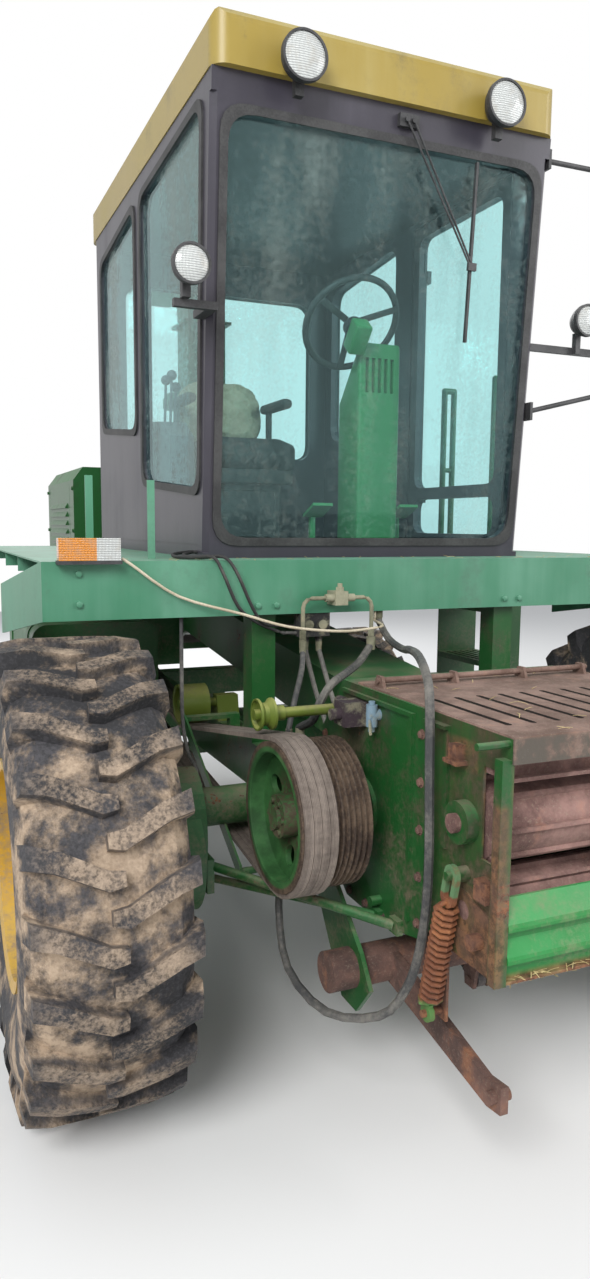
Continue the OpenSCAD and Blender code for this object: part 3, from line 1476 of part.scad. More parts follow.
module spout() painted(green) {
    translate([0, spout_y, turn_z]) difference() {
        union() {
            translate([0, 0, 0.3]) cylinder(h = 24, d = turn_d - 20);
            translate([0, 0, -34]) cylinder(h = 36, d = turn_bore - 2 * running);
        }
        translate([0, 0, -35]) cylinder(h = 70, d = 2 * spout_half - 20);
    }
    translate([0, spout_y, turn_z + 20]) linear_extrude(height = spout_rise - turn_z - 20)
        duct_outline();
    // Bolted collars between the riser and the bend
    for (z = [spout_rise - 8, spout_rise + 0.3])
        translate([0, spout_y, z]) linear_extrude(height = 8) difference() {
            square(2 * spout_half + 60, center = true);
            square(2 * spout_half - 2, center = true);
        }
    spout_end() {
        translate([0, 0, -bend_r]) rotate([90, 0, 90]) rotate([0, 0, 90])
            rotate_extrude(angle = 90 + bend_drop) translate([bend_r, 0]) duct_outline();
        rotate([-90, 0, 0]) linear_extrude(height = spout_run) duct_outline();
        both_sides() bar_x(spout_half - 1, spout_half + 26, cap_pin_y, cap_pin_z, cap_pin_d);
    }
}

module spout_cap() painted(green) spout_end() {
    both_sides() difference() {
        plate_x(spout_half + 6, 6, [
            [cap_pin_y - 40, cap_pin_z - 20], [cap_pin_y - 20, spout_half + cap_gap + 6],
            [cap_pin_y + cap_l, spout_half + cap_gap + 6], [cap_pin_y + cap_l, spout_half - 60],
            [cap_pin_y, cap_pin_z - 30]
        ]);
        bar_x(spout_half, spout_half + 20, cap_pin_y, cap_pin_z, cap_pin_d + 2 * running);
    }
    box([-spout_half - 12, cap_pin_y - 20, spout_half + cap_gap],
        [spout_half + 12, cap_pin_y + cap_l, spout_half + cap_gap + 6]);
}

// Rolls and rotating pieces

module feed_roll(z, d, slats, end) {
    translate([0, roll_y, z]) {
        bar_x(-throat_half + 5, throat_half - 5, 0, 0, d - 24);
        bar_x(-throat_half - end, throat_half + end, 0, 0, shaft_d);
        for (i = [0:slats - 1]) rotate([i * 360 / slats, 0, 0])
            box([-throat_half + 8, -6, d / 2 - 20], [throat_half - 8, 6, d / 2 - 0.2]);
    }
}

module upper_feed_roll() painted(rust) feed_roll(upper_roll_z, roll_d, 8, 58);
module lower_feed_roll() painted(rust) feed_roll(lower_roll_z, 200, 10, 10);

module lift_arms() painted(rust) {
    bar_x(-lift_half, lift_half, lift_y, lift_z, lift_d);
    both_sides() {
        plate_x(330, 24, [
            [lift_y, lift_z + 55], [-990, 375], [-1060, 385], [-1060, 310], [-1000, 300],
            [lift_y, lift_z - 55]
        ]);
        bar_x(310, 374, -1030, 345, 36);
    }
    for (x = [-34, 20]) plate_x(x, 14, [
        [lift_y - 50, lift_z], [lift_y + 50, lift_z], [lift_y + 24, lift_z - lever_l - 24],
        [lift_y - 24, lift_z - lever_l - 24]
    ]);
    bar_x(-40, 40, lift_y, lift_z - lever_l, 26);
}

barrel_l = 330;

module ram_place() {
    translate([0, ram_base_y, ram_base_z]) rotate([90 + ram_tilt, 0, 0]) children();
}

module lift_barrel() painted(green) {
    ram_place() difference() {
        union() {
            translate([0, 0, 78]) cylinder(h = barrel_l - 78, d = 80);
            rotate([0, 90, 0]) cylinder(h = 34, d = 60, center = true);
            translate([-17, -24, 0]) cube([34, 48, 80]);
        }
        translate([0, 0, 90]) cylinder(h = barrel_l, d = 44 + 2 * running);
        rotate([0, 90, 0]) cylinder(h = 40, d = 30 + 2 * running, center = true);
    }
}

module lift_rod() painted(steel) {
    ram_place() difference() {
        union() {
            translate([0, 0, 100]) cylinder(h = ram_l - 162, d = 44);
            translate([-15, -20, ram_l - 63]) cube([30, 40, 60]);
            translate([0, 0, ram_l]) rotate([0, 90, 0]) cylinder(h = 30, d = 58, center = true);
        }
        translate([0, 0, ram_l]) rotate([0, 90, 0]) cylinder(h = 40, d = 26 + 8, center = true);
    }
}

frame_rails();
frame_crossmembers();
front_axle();
rear_axle();
feeder_housing();
feeder_cover();
throat_bars();
throat_sill();
cutter_housing();
transfer_duct();
belt_sheaves();
main_belt();
belt_tensioner();
feed_springs();
deck();
cab_frame();
cab_roof();
cab_glass();
window_seals();
door_frame();
door_glass();
steering_column();
steering_wheel();
operator_seat();
control_console();
lamps();
lamp_lenses();
signal_lamps();
wiper();
mirrors();
ladder();
fuel_tank();
engine_block();
engine_housing();
blower_housing();
exhaust_stack();
valve_manifold();
hydraulic_hoses();
lamp_cable();
front_rim_right();
front_tyre_right();
front_rim_left();
front_tyre_left();
knuckle_right();
knuckle_left();
tie_rod();
rear_rim_right();
rear_tyre_right();
rear_rim_left();
rear_tyre_left();
spout();
spout_cap();
upper_feed_roll();
lower_feed_roll();
rotary_screen();
lift_arms();
lift_barrel();
lift_rod();
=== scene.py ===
# Looks for the forage harvester: finishes for its parts, and the small pieces that only show up close.
import json
import math
import random

import bpy
from mathutils import Matrix, Vector


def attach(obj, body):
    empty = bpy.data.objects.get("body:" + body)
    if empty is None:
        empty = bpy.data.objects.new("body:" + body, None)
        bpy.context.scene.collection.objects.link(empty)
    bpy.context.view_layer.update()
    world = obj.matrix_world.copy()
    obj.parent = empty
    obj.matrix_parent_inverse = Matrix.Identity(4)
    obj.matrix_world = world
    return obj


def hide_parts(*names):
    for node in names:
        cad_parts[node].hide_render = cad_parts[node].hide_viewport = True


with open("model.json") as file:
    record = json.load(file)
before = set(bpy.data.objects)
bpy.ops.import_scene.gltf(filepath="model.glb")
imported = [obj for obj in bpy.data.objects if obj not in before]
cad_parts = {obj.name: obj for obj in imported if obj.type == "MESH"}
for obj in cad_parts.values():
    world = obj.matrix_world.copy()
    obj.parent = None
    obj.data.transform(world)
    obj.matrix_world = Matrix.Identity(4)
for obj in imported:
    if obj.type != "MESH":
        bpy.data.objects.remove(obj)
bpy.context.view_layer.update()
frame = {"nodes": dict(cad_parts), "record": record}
nodes = frame["nodes"]
dice = random.Random(7)

axleY = -1.41  # the part's origin lies this far behind the front axle


def at(x, y, z):
    # Millimetres from the front axle, as the part's source counts them, to metres in the scene.
    return Vector((x / 1000, y / 1000 + axleY, z / 1000))


camera = {"place": (-1669, -2771, 1799), "yaw": 23.249, "down": 7.278, "roll": 0.463,
          "lens": 24.97, "sensor": 36, "near": 0.05, "far": 100}


def makeCamera(values):
    data = bpy.data.cameras.new("photoCamera")
    data.sensor_width = values["sensor"]
    data.lens = values["lens"]
    data.clip_start, data.clip_end = values["near"], values["far"]
    eye = bpy.data.objects.new("photoCamera", data)
    bpy.context.scene.collection.objects.link(eye)
    yaw, down, roll = (math.radians(values[k]) for k in ("yaw", "down", "roll"))
    ahead = Vector((math.sin(yaw) * math.cos(down), math.cos(yaw) * math.cos(down), -math.sin(down)))
    turn = ahead.to_track_quat("-Z", "Y").to_matrix().to_4x4() @ Matrix.Rotation(roll, 4, "Z")
    eye.location = at(*values["place"])
    eye.rotation_euler = turn.to_euler()
    bpy.context.scene.camera = eye


makeCamera(camera)
print("camera is in place")

light = {"key": (-6, -8, 7, 1050), "fill": (7, -6, 5, 400), "back": (2, 9, 7, 500),
         "size": 5.0, "aim": (0, 0, 1.5), "world": 0.5, "sky": (0.92, 0.95, 1, 1), "seen": (1, 1, 1, 1)}


def makeLights(values):
    # Three soft lamps in a pale world, which is plain white where it is seen or mirrored.
    for name in ("key", "fill", "back"):
        x, y, z, power = values[name]
        data = bpy.data.lights.new(name, "AREA")
        data.shape, data.size, data.energy = "DISK", values["size"], power
        lamp = bpy.data.objects.new(name, data)
        bpy.context.scene.collection.objects.link(lamp)
        lamp.location = (x, y, z)
        beam = Vector(values["aim"]) - lamp.location
        lamp.rotation_euler = beam.to_track_quat("-Z", "Y").to_euler()
    world = bpy.data.worlds.new("studio")
    bpy.context.scene.world = world
    world.use_nodes = True
    tree = world.node_tree
    tree.nodes.clear()
    out = tree.nodes.new("ShaderNodeOutputWorld")
    plain = tree.nodes.new("ShaderNodeBackground")
    plain.inputs["Color"].default_value = values["sky"]
    plain.inputs["Strength"].default_value = values["world"]
    white = tree.nodes.new("ShaderNodeBackground")
    white.inputs["Color"].default_value = values["seen"]
    rays = tree.nodes.new("ShaderNodeLightPath")
    share = rays.outputs["Is Camera Ray"]
    for other in ("Is Glossy Ray", "Is Transmission Ray"):
        most = tree.nodes.new("ShaderNodeMath")
        most.operation = "MAXIMUM"
        tree.links.new(share, most.inputs[0])
        tree.links.new(rays.outputs[other], most.inputs[1])
        share = most.outputs[0]
    both = tree.nodes.new("ShaderNodeMixShader")
    tree.links.new(share, both.inputs[0])
    tree.links.new(plain.outputs[0], both.inputs[1])
    tree.links.new(white.outputs[0], both.inputs[2])
    tree.links.new(both.outputs[0], out.inputs["Surface"])


makeLights(light)
bpy.context.scene.view_settings.view_transform = "Standard"
print("lights are on")


class Wire:
    # One socket of a material, so that shader maths can be written as sums.
    def __init__(self, paint, socket):
        self.paint, self.socket = paint, socket

    def maths(self, operation, other=0.0, turned=False):
        first, second = (other, self) if turned else (self, other)
        return self.paint.add("ShaderNodeMath", {"operation": operation}, {0: first, 1: second})

    def __add__(self, other):
        return self.maths("ADD", other)

    def __radd__(self, other):
        return self.maths("ADD", other)

    def __sub__(self, other):
        return self.maths("SUBTRACT", other)

    def __rsub__(self, other):
        return self.maths("SUBTRACT", other, True)

    def __mul__(self, other):
        return self.maths("MULTIPLY", other)

    def __rmul__(self, other):
        return self.maths("MULTIPLY", other)

    def __pow__(self, other):
        return self.maths("POWER", other)

    def least(self, other):
        return self.maths("MINIMUM", other)

    def most(self, other):
        return self.maths("MAXIMUM", other)

    def fade(self, start, end):
        # Rises softly from 0 at start to 1 at end, or falls where end is the lower one.
        return self.paint.add("ShaderNodeMapRange", {"interpolation_type": "SMOOTHSTEP"},
                              {0: self, 1: start, 2: end})


class Paint:
    # A material under construction: every node comes from add().
    def __init__(self, name, **fixed):
        self.material = bpy.data.materials.new(name)
        self.material.use_nodes = True
        self.tree = self.material.node_tree
        self.tree.nodes.clear()
        self.out = self.tree.nodes.new("ShaderNodeOutputMaterial")
        self.shader = self.tree.nodes.new("ShaderNodeBsdfPrincipled")
        self.tree.links.new(self.shader.outputs[0], self.out.inputs["Surface"])
        for socket, value in fixed.items():
            self.shader.inputs[socket.replace("_", " ")].default_value = value
        self.where = self.add("ShaderNodeTexCoord", {}, {}, "Object")
        self.facing = self.add("ShaderNodeNewGeometry", {}, {}, "Normal")

    def add(self, kind, settings, values, output=0):
        made = self.tree.nodes.new(kind)
        for name, value in settings.items():
            setattr(made, name, value)
        for name, value in values.items():
            socket = made.inputs[name]
            if isinstance(value, Wire):
                self.tree.links.new(value.socket, socket)
            elif isinstance(value, tuple) and len(value) == 3 and socket.type == "RGBA":
                socket.default_value = (*value, 1)
            else:
                socket.default_value = value
        return Wire(self, made.outputs[output])

    def noise(self, scale, detail=3.0, rough=0.55, where=None):
        return self.add("ShaderNodeTexNoise", {}, {"Vector": where or self.where, "Scale": scale,
                                                   "Detail": detail, "Roughness": rough}, "Fac")

    def stretched(self, x, y, z):
        return self.add("ShaderNodeMapping", {}, {"Vector": self.where, "Scale": (x, y, z)})

    def axis(self, name, of=None):
        return self.add("ShaderNodeSeparateXYZ", {}, {0: of or self.where}, "XYZ".index(name))

    def mix(self, first, second, share):
        # Two colours in one: share is the second one's part of it.
        return self.add("ShaderNodeMix", {"data_type": "RGBA"}, {0: share, 6: first, 7: second}, 2)

    def zone(self, low, high, soft=0.012):
        # 1 inside a box given in millimetres from the front axle. It fades out over soft metres.
        low, high = at(*low), at(*high)
        inside = None
        for name, a, b in zip("XYZ", low, high):
            along = self.axis(name)
            share = along.fade(a - soft, a + soft) * (1 - along.fade(b - soft, b + soft))
            inside = share if inside is None else inside * share
        return inside

    def radius(self, y, z):
        # Distance from a line along X, in metres.
        centre = at(0, y, z)
        dy, dz = self.axis("Y") - centre.y, self.axis("Z") - centre.z
        return (dy * dy + dz * dz) ** 0.5

    def finish(self, colour=None, rough=None, height=None, depth=0.002, metal=None, coat=None):
        for name, value in (("Base Color", colour), ("Roughness", rough), ("Metallic", metal),
                            ("Coat Weight", coat)):
            if isinstance(value, Wire):
                self.tree.links.new(value.socket, self.shader.inputs[name])
            elif value is not None:
                self.shader.inputs[name].default_value = (*value, 1) if name == "Base Color" else value
        if height is not None:
            bump = self.add("ShaderNodeBump", {}, {"Height": height, "Distance": depth, "Strength": 1.0},
                            "Normal")
            self.tree.links.new(bump.socket, self.shader.inputs["Normal"])
        return self.material


rustDark, rustLight = (0.075, 0.030, 0.018), (0.24, 0.105, 0.052)
soil, driedMud, bareSteel = (0.30, 0.235, 0.165), (0.33, 0.27, 0.20), (0.35, 0.33, 0.31)
# How softly each layer of wear begins. The sums below weigh noises of several sizes against each other,
# and the stops of a fade say how much of the surface its layer takes.
softness = {"chalk": 0.35, "grime": 0.18, "chip": 0.035, "brushed": 0.004}


def wornPaint(name, values):
    # Faded machine paint: chalk where the sun reaches, dust below, rust where it has chipped.
    paint = Paint(name, IOR=1.45)
    up = paint.axis("Z", paint.facing)
    above = paint.axis("Z")
    cloud = paint.noise(1.7, 4)
    blotch = paint.noise(6.0, 6, 0.62)
    grain = paint.noise(70, 4, 0.7)
    runs = paint.noise(9, 4, 0.6, paint.stretched(1.0, 1.0, 0.09))
    chalk = (cloud * 0.5 + runs * 0.35 + up.fade(0.1, 0.95) * 0.35).fade(
        values["chalkFrom"], values["chalkFrom"] + softness["chalk"])
    colour = paint.mix(values["deep"], values["faded"], chalk)
    grimeFrom = values.get("grimeFrom", 0.50)
    grime = (blotch * 0.5 + grain * 0.2 + runs * 0.3).fade(grimeFrom, grimeFrom + softness["grime"])
    colour = paint.mix(colour, values["grime"], grime * values["grimy"])
    dust = ((blotch * 0.6 + grain * 0.4).fade(0.45, 0.7) * above.fade(1.9, 0.2)
            + up.fade(0.5, 1.0) * blotch.fade(0.35, 0.7) * 0.6).least(1.0) * values["dusty"]
    colour = paint.mix(colour, soil, dust)
    chip = (blotch * 0.55 + grain * 0.45 + cloud * 0.25).fade(
        values["rustFrom"], values["rustFrom"] + softness["chip"])
    for low, high, strength in values.get("rusty", []):
        patchy = (blotch * 0.5 + grain * 0.5).fade(0.62 - strength * 0.5, 0.78 - strength * 0.5)
        chip = chip.most(paint.zone(low, high) * patchy)
    flake = paint.noise(38, 5, 0.7).fade(0.38, 0.62)
    rustTone = paint.mix(rustDark, rustLight, flake)
    if "rustTint" in values:
        rustTone = paint.mix(rustTone, values["rustTint"], paint.noise(11, 4).fade(0.4, 0.6) * 0.65)
    colour = paint.mix(colour, rustTone, chip)
    rough = (0.36 + chalk * 0.2 + dust * 0.3 + chip * 0.35).least(0.95)
    relief = grain * 0.25 + chip * (0.4 + flake * 0.5) + dust * 0.4 + blotch * 0.3
    return paint.finish(colour, rough, relief, 0.0012)


def rustySteel(name, values):
    # Bare metal gone brown: clouds of old and fresh rust, dried mud, and a little steel rubbed bright.
    paint = Paint(name)
    cloud = paint.noise(3.0, 5, 0.6)
    patch = paint.noise(14, 6, 0.68)
    grain = paint.noise(120, 4, 0.75)
    streak = paint.noise(16, 4, 0.6, paint.stretched(1.0, 1.0, 0.12))
    colour = paint.mix(values["dark"], values["light"], (cloud * 0.55 + patch * 0.45).fade(0.36, 0.66))
    colour = paint.mix(colour, values["fresh"],
                       (patch * 0.6 + streak * 0.4).fade(0.52, 0.68) * values["freshness"])
    colour = paint.mix(colour, driedMud, grain.fade(0.52, 0.7) * values["dusty"])
    for low, high, tone in values.get("painted", []):
        share = paint.zone(low, high, softness["brushed"]) * (0.35 + patch.fade(0.62, 0.45) * 0.65)
        colour = paint.mix(colour, tone, share)
    if "cut" in values:
        # Painted shade: walls that face sideways inside the zone, such as the walls of a cover's cut
        # slots, are darkened to the given tone.
        low, high, tone = values["cut"]
        sidewaysShade = paint.axis("Z", paint.facing).fade(0.6, 0.3)
        colour = paint.mix(colour, tone, paint.zone(low, high, softness["brushed"]) * sidewaysShade)
    bare = (1 - (patch * 0.6 + grain * 0.4).fade(0.3, 0.42)) * values["bare"]
    colour = paint.mix(colour, bareSteel, bare)
    return paint.finish(colour, 0.9 - bare * 0.45, grain * 0.5 + patch * 0.8, 0.0016, metal=bare * 0.8)


greenTones = {"deep": (0.012, 0.08, 0.018), "faded": (0.042, 0.15, 0.05), "grime": (0.02, 0.024, 0.011),
              "grimy": 0.9, "dusty": 0.6, "chalkFrom": 0.42, "rustFrom": 0.745}
oilyTones = dict(greenTones, grimeFrom=0.44, grime=(0.030, 0.026, 0.015))
feederTones = dict(oilyTones, rustTint=(0.115, 0.060, 0.044), rusty=[
    ((408, -1125, 690), (440, -1088, 1150), 0.95), ((-440, -1125, 690), (-408, -1088, 1150), 0.95),
    ((-400.5, -1125, 660), (400.5, -740, 1312), 1.0), ((408, -1070, 690), (520, -880, 900), 0.75),
    ((-520, -1070, 690), (-408, -880, 900), 0.75), ((408, -990, 1190), (470, -860, 1270), 0.8),
    ((-470, -990, 1190), (-408, -860, 1270), 0.8), ((-520, -1130, 470), (520, -820, 700), 0.8),
    ((-470, -1095, 880), (-408, -1020, 960), 0.9), ((408, -1095, 880), (470, -1020, 960), 0.9)])
deckTones = {"deep": (0.045, 0.19, 0.105), "faded": (0.125, 0.30, 0.205), "grime": (0.045, 0.09, 0.065),
             "grimy": 0.4, "dusty": 0.3, "chalkFrom": 0.30, "rustFrom": 0.82}
freshTones = {"deep": (0.012, 0.18, 0.034), "faded": (0.035, 0.27, 0.075), "grime": (0.05, 0.09, 0.03),
              "grimy": 0.35, "dusty": 0.5, "chalkFrom": 0.45, "rustFrom": 0.83}
roofTones = {"deep": (0.29, 0.21, 0.042), "faded": (0.36, 0.295, 0.115), "grime": (0.12, 0.095, 0.045),
             "grimy": 0.6, "dusty": 0.3, "chalkFrom": 0.35, "rustFrom": 0.84}
rimTones = {"deep": (0.50, 0.29, 0.02), "faded": (0.60, 0.40, 0.07), "grime": (0.10, 0.07, 0.035),
            "grimy": 0.9, "dusty": 0.9, "chalkFrom": 0.42, "rustFrom": 0.78}
cabTones = {"deep": (0.035, 0.032, 0.043), "faded": (0.080, 0.076, 0.094), "grime": (0.02, 0.02, 0.022),
            "grimy": 0.5, "dusty": 0.35, "chalkFrom": 0.38, "rustFrom": 0.86}
sillTones = dict(freshTones, rusty=[((-420, -1140, 690), (420, -1060, 716), 1.0)],
                 rustTint=(0.30, 0.21, 0.09))
columnTones = dict(freshTones, deep=(0.03, 0.20, 0.06), faded=(0.06, 0.30, 0.11), dusty=0.2)
guideTones = dict(greenTones, deep=(0.10, 0.14, 0.02), faded=(0.22, 0.24, 0.06))
plateRust = {"dark": (0.12, 0.07, 0.052), "light": (0.29, 0.19, 0.155), "fresh": (0.36, 0.18, 0.10),
             "freshness": 0.3, "dusty": 0.45, "bare": 0.25}
# cut: the walls of the cover's slots, darkened near black as painted shade.
coverRust = dict(plateRust, cut=((-400, -1030, 1300), (400, -650, 1325), (0.018, 0.013, 0.011)), painted=[
    ((-420, -1150, 1245), (420, -1105, 1314), (0.085, 0.072, 0.058))])
deepRust = {"dark": (0.06, 0.035, 0.03), "light": (0.19, 0.10, 0.075), "fresh": (0.33, 0.13, 0.05),
            "freshness": 0.5, "dusty": 0.3, "bare": 0.1}
throatRust = {"dark": (0.085, 0.042, 0.036), "light": (0.31, 0.18, 0.155), "fresh": (0.38, 0.17, 0.10),
              "freshness": 0.4, "dusty": 0.35, "bare": 0.1}
springRust = {"dark": (0.13, 0.045, 0.022), "light": (0.29, 0.11, 0.045), "fresh": (0.40, 0.16, 0.055),
              "freshness": 0.6, "dusty": 0.15, "bare": 0.0, "painted": [
                  ((-500, -1010, 872), (-420, -890, 970), (0.10, 0.20, 0.09)),
                  ((420, -1010, 872), (500, -890, 970), (0.10, 0.20, 0.09)),
                  ((-500, -900, 470), (-420, -820, 552), (0.08, 0.19, 0.05)),
                  ((420, -900, 470), (500, -820, 552), (0.08, 0.19, 0.05))]}
dullSteel = {"dark": (0.05, 0.045, 0.045), "light": (0.13, 0.115, 0.11), "fresh": (0.20, 0.10, 0.06),
             "freshness": 0.35, "dusty": 0.3, "bare": 0.5}
fittingSteel = {"dark": (0.10, 0.10, 0.06), "light": (0.34, 0.33, 0.23), "fresh": (0.30, 0.20, 0.10),
                "freshness": 0.3, "dusty": 0.3, "bare": 0.3, "painted": [
                    ((-530, -430, 1180), (-410, -285, 1290), (0.035, 0.022, 0.028)),
                    ((-470, -520, 1190), (-400, -450, 1300), (0.16, 0.24, 0.30)),
                    ((-400, 140, 1380), (-270, 210, 1490), (0.02, 0.02, 0.02))]}
exhaustRust = {"dark": (0.07, 0.035, 0.025), "light": (0.20, 0.10, 0.06), "fresh": (0.36, 0.15, 0.06),
               "freshness": 0.7, "dusty": 0.2, "bare": 0.0}


tyreTones = {"dark": (0.018, 0.018, 0.020), "worn": (0.065, 0.062, 0.068),
             "wetMud": (0.28, 0.20, 0.13), "dryMud": (0.50, 0.38, 0.27)}


def tyreRubber(name, tones, centre, tread):
    # Black rubber with tan mud, thick between the lugs and on the wall, out to the radius tread.
    paint = Paint(name)
    radius = paint.radius(*centre)
    cloud = paint.noise(2.6, 5, 0.6)
    clod = paint.noise(9, 6, 0.65)
    grain = paint.noise(90, 4, 0.7)
    worn = paint.mix(tones["dark"], tones["worn"], (cloud * 0.5 + grain * 0.5).fade(0.4, 0.65))
    low = 1 - radius.fade(tread - 0.004, tread + 0.016)
    edge = radius.fade(tread + 0.020, tread + 0.040) * (clod * 0.5 + grain * 0.5).fade(0.40, 0.55)
    mud = ((clod * 0.62 + cloud * 0.38).fade(0.46, 0.60) * (0.30 + low * 0.7)
           + (clod * 0.5 + grain * 0.5).fade(0.55, 0.7) * 0.25 + edge * 0.45).least(1.0)
    mudTone = paint.mix(tones["wetMud"], tones["dryMud"], (clod * 0.5 + grain * 0.5).fade(0.35, 0.65))
    colour = paint.mix(worn, mudTone, mud * 0.85)
    return paint.finish(colour, 0.78 + mud * 0.2, mud * 0.9 + grain * 0.35 + clod * 0.4, 0.004)


hoseTones = {"dark": (0.045, 0.046, 0.047), "dusty": (0.17, 0.16, 0.14), "black": (0.012, 0.012, 0.013),
             "blackFrom": (-830, 106, 1424), "blackTo": (-390, 480, 1712)}


def hoseRubber(tones):
    # Grey-brown hoses, and two black cables that run down from the cab.
    paint = Paint("hoseRubber")
    grain = paint.noise(60, 4, 0.7)
    wear = (grain * 0.4 + paint.noise(5, 5) * 0.6).fade(0.4, 0.66)
    colour = paint.mix(tones["dark"], tones["dusty"], wear)
    black = paint.zone(tones["blackFrom"], tones["blackTo"], softness["brushed"])
    colour = paint.mix(colour, tones["black"], black * 0.9)
    return paint.finish(colour, 0.72, grain, 0.0008)


beltTones = {"dark": (0.12, 0.095, 0.08), "light": (0.27, 0.22, 0.185), "line": (0.10, 0.08, 0.066),
             "pitch": 1260}


def beltRubber(tones):
    # Canvas-backed rubber, polished along its run, with the lines of its joined bands.
    paint = Paint("beltRubber")
    lines = (paint.axis("X") * tones["pitch"]).maths("SINE").fade(-0.7, 0.7)
    streak = paint.noise(40, 3, 0.6, paint.stretched(1.0, 0.05, 0.05))
    grain = paint.noise(50, 4, 0.7)
    colour = paint.mix(tones["dark"], tones["light"], (streak * 0.6 + grain * 0.4).fade(0.35, 0.65))
    colour = paint.mix(colour, tones["line"], (1 - lines) * 0.35)
    return paint.finish(colour, 0.85, lines * 0.4 + grain * 0.2, 0.0012)


sheaveTones = {"green": (0.014, 0.06, 0.014), "lightGreen": (0.035, 0.13, 0.035),
               "rust": (0.035, 0.022, 0.016), "lightRust": (0.12, 0.082, 0.055),
               "grease": (0.05, 0.035, 0.02),
               "middle": (-400, 940), "webEnds": (0.205, 0.213), "hubEnds": (0.09, 0.16)}


def sheavePaint(tones):
    # Green web with a greasy hub, and rust over the grooves.
    paint = Paint("sheavePaint")
    radius = paint.radius(*tones["middle"])
    blotch = paint.noise(7, 6, 0.65)
    grain = paint.noise(80, 4, 0.7)
    web = 1 - radius.fade(*tones["webEnds"])
    hub = 1 - radius.fade(*tones["hubEnds"])
    painted = paint.mix(tones["green"], tones["lightGreen"], blotch.fade(0.35, 0.6))
    painted = paint.mix(painted, tones["grease"], hub * grain.fade(0.35, 0.6))
    bare = paint.mix(tones["rust"], tones["lightRust"], (blotch * 0.5 + grain * 0.5).fade(0.4, 0.62))
    colour = paint.mix(bare, painted, web * (0.45 + blotch.fade(0.68, 0.5) * 0.55))
    near = paint.axis("Y").fade(1.0, 0.0)  # the engine's own sheave is plain steel
    colour = paint.mix(bare, colour, near)
    return paint.finish(colour, 0.62, grain * 0.5 + blotch * 0.5, 0.001)


def plainPlastic(name, dark, light, rough):
    # Any plain moulded or coated surface with dust in its grain.
    paint = Paint(name)
    grain = paint.noise(150, 3, 0.6)
    colour = paint.mix(dark, light, (paint.noise(7, 4) * 0.6 + grain * 0.4).fade(0.35, 0.68))
    return paint.finish(colour, rough, grain, 0.0005)


glassTones = {"tint": (0.83, 0.955, 0.955), "mirrored": (0.62, 0.86, 0.86), "dust": (0.42, 0.50, 0.47),
              "straight": 0.045, "glancing": 0.7, "smeared": 0.14}


def tintedGlass(name, tones):
    # Thin tinted glass: light passes straight through it and takes its colour, the rest is mirrored.
    paint = Paint(name, IOR=1.5)
    streak = paint.noise(3, 5, 0.6, paint.stretched(1.2, 1.2, 0.35))
    spots = paint.noise(45, 5, 0.7)
    smear = (streak * 0.6 + spots * 0.4).fade(0.44, 0.74)
    dusty = smear.fade(0.02, 0.3)
    tone = paint.mix(tones["mirrored"], tones["dust"], dusty)
    paint.finish(tone, 0.04 + smear * 0.4, metal=1 - dusty)
    clear = paint.tree.nodes.new("ShaderNodeBsdfTransparent")
    clear.inputs["Color"].default_value = (*tones["tint"], 1)
    edge = paint.add("ShaderNodeLayerWeight", {}, {"Blend": 0.5}, "Facing")
    share = ((edge ** 5) * tones["glancing"] + tones["straight"] + smear * tones["smeared"]).least(1.0)
    both = paint.tree.nodes.new("ShaderNodeMixShader")
    paint.tree.links.new(share.socket, both.inputs[0])
    paint.tree.links.new(clear.outputs[0], both.inputs[1])
    paint.tree.links.new(paint.shader.outputs[0], both.inputs[2])
    paint.tree.links.new(both.outputs[0], paint.out.inputs["Surface"])
    return paint.material


lensRibs = {"across": 700, "upward": 420, "dirt": (0.34, 0.30, 0.24)}


def ribbedLens(name, tone, shade):
    # A moulded lens: small squares in relief over a bright reflector, with painted shade darkening the
    # lines between the squares.
    paint = Paint(name, IOR=1.5)
    across = (paint.axis("X") * lensRibs["across"]).maths("SINE").maths("ABSOLUTE")
    upward = (paint.axis("Z") * lensRibs["upward"]).maths("SINE").maths("ABSOLUTE")
    squares = (across * upward) ** 0.5
    dirt = paint.noise(26, 5, 0.65).fade(0.45, 0.7)
    colour = paint.mix(shade, tone, squares.fade(0.15, 0.8))
    colour = paint.mix(colour, lensRibs["dirt"], dirt * 0.4)
    return paint.finish(colour, 0.16 + dirt * 0.5, squares, 0.0015, coat=0.6)


def strawTone(dark, light):
    paint = Paint("straw")
    fibre = paint.noise(90, 3, 0.6)
    colour = paint.mix(dark, light, (fibre * 0.5 + paint.noise(14, 3) * 0.5).fade(0.35, 0.62))
    return paint.finish(colour, 0.8, fibre, 0.0004)


def vinyl(name, dark, light, weave):
    # Seat cloth or coated cloth: weave counts its threads.
    paint = Paint(name)
    x, y, z = (paint.axis(k) for k in "XYZ")
    cloth = ((x * weave).maths("SINE") * ((y + z) * weave).maths("SINE")).fade(-0.8, 0.8)
    wear = (paint.noise(9, 5, 0.6) * 0.6 + paint.noise(60, 4) * 0.4).fade(0.4, 0.65)
    colour = paint.mix(dark, light, wear * 0.75 + cloth * 0.25)
    return paint.finish(colour, 0.62 + wear * 0.2, cloth * 0.5 + paint.noise(120, 3) * 0.6, 0.0006)


def silvered(clean, dirty):
    paint = Paint("mirrorGlassFinish", Metallic=1.0)
    dirt = (paint.noise(18, 5, 0.65) * 0.6 + paint.noise(70, 4) * 0.4).fade(0.48, 0.7)
    return paint.finish(paint.mix(clean, dirty, dirt * 0.7), 0.04 + dirt * 0.5)


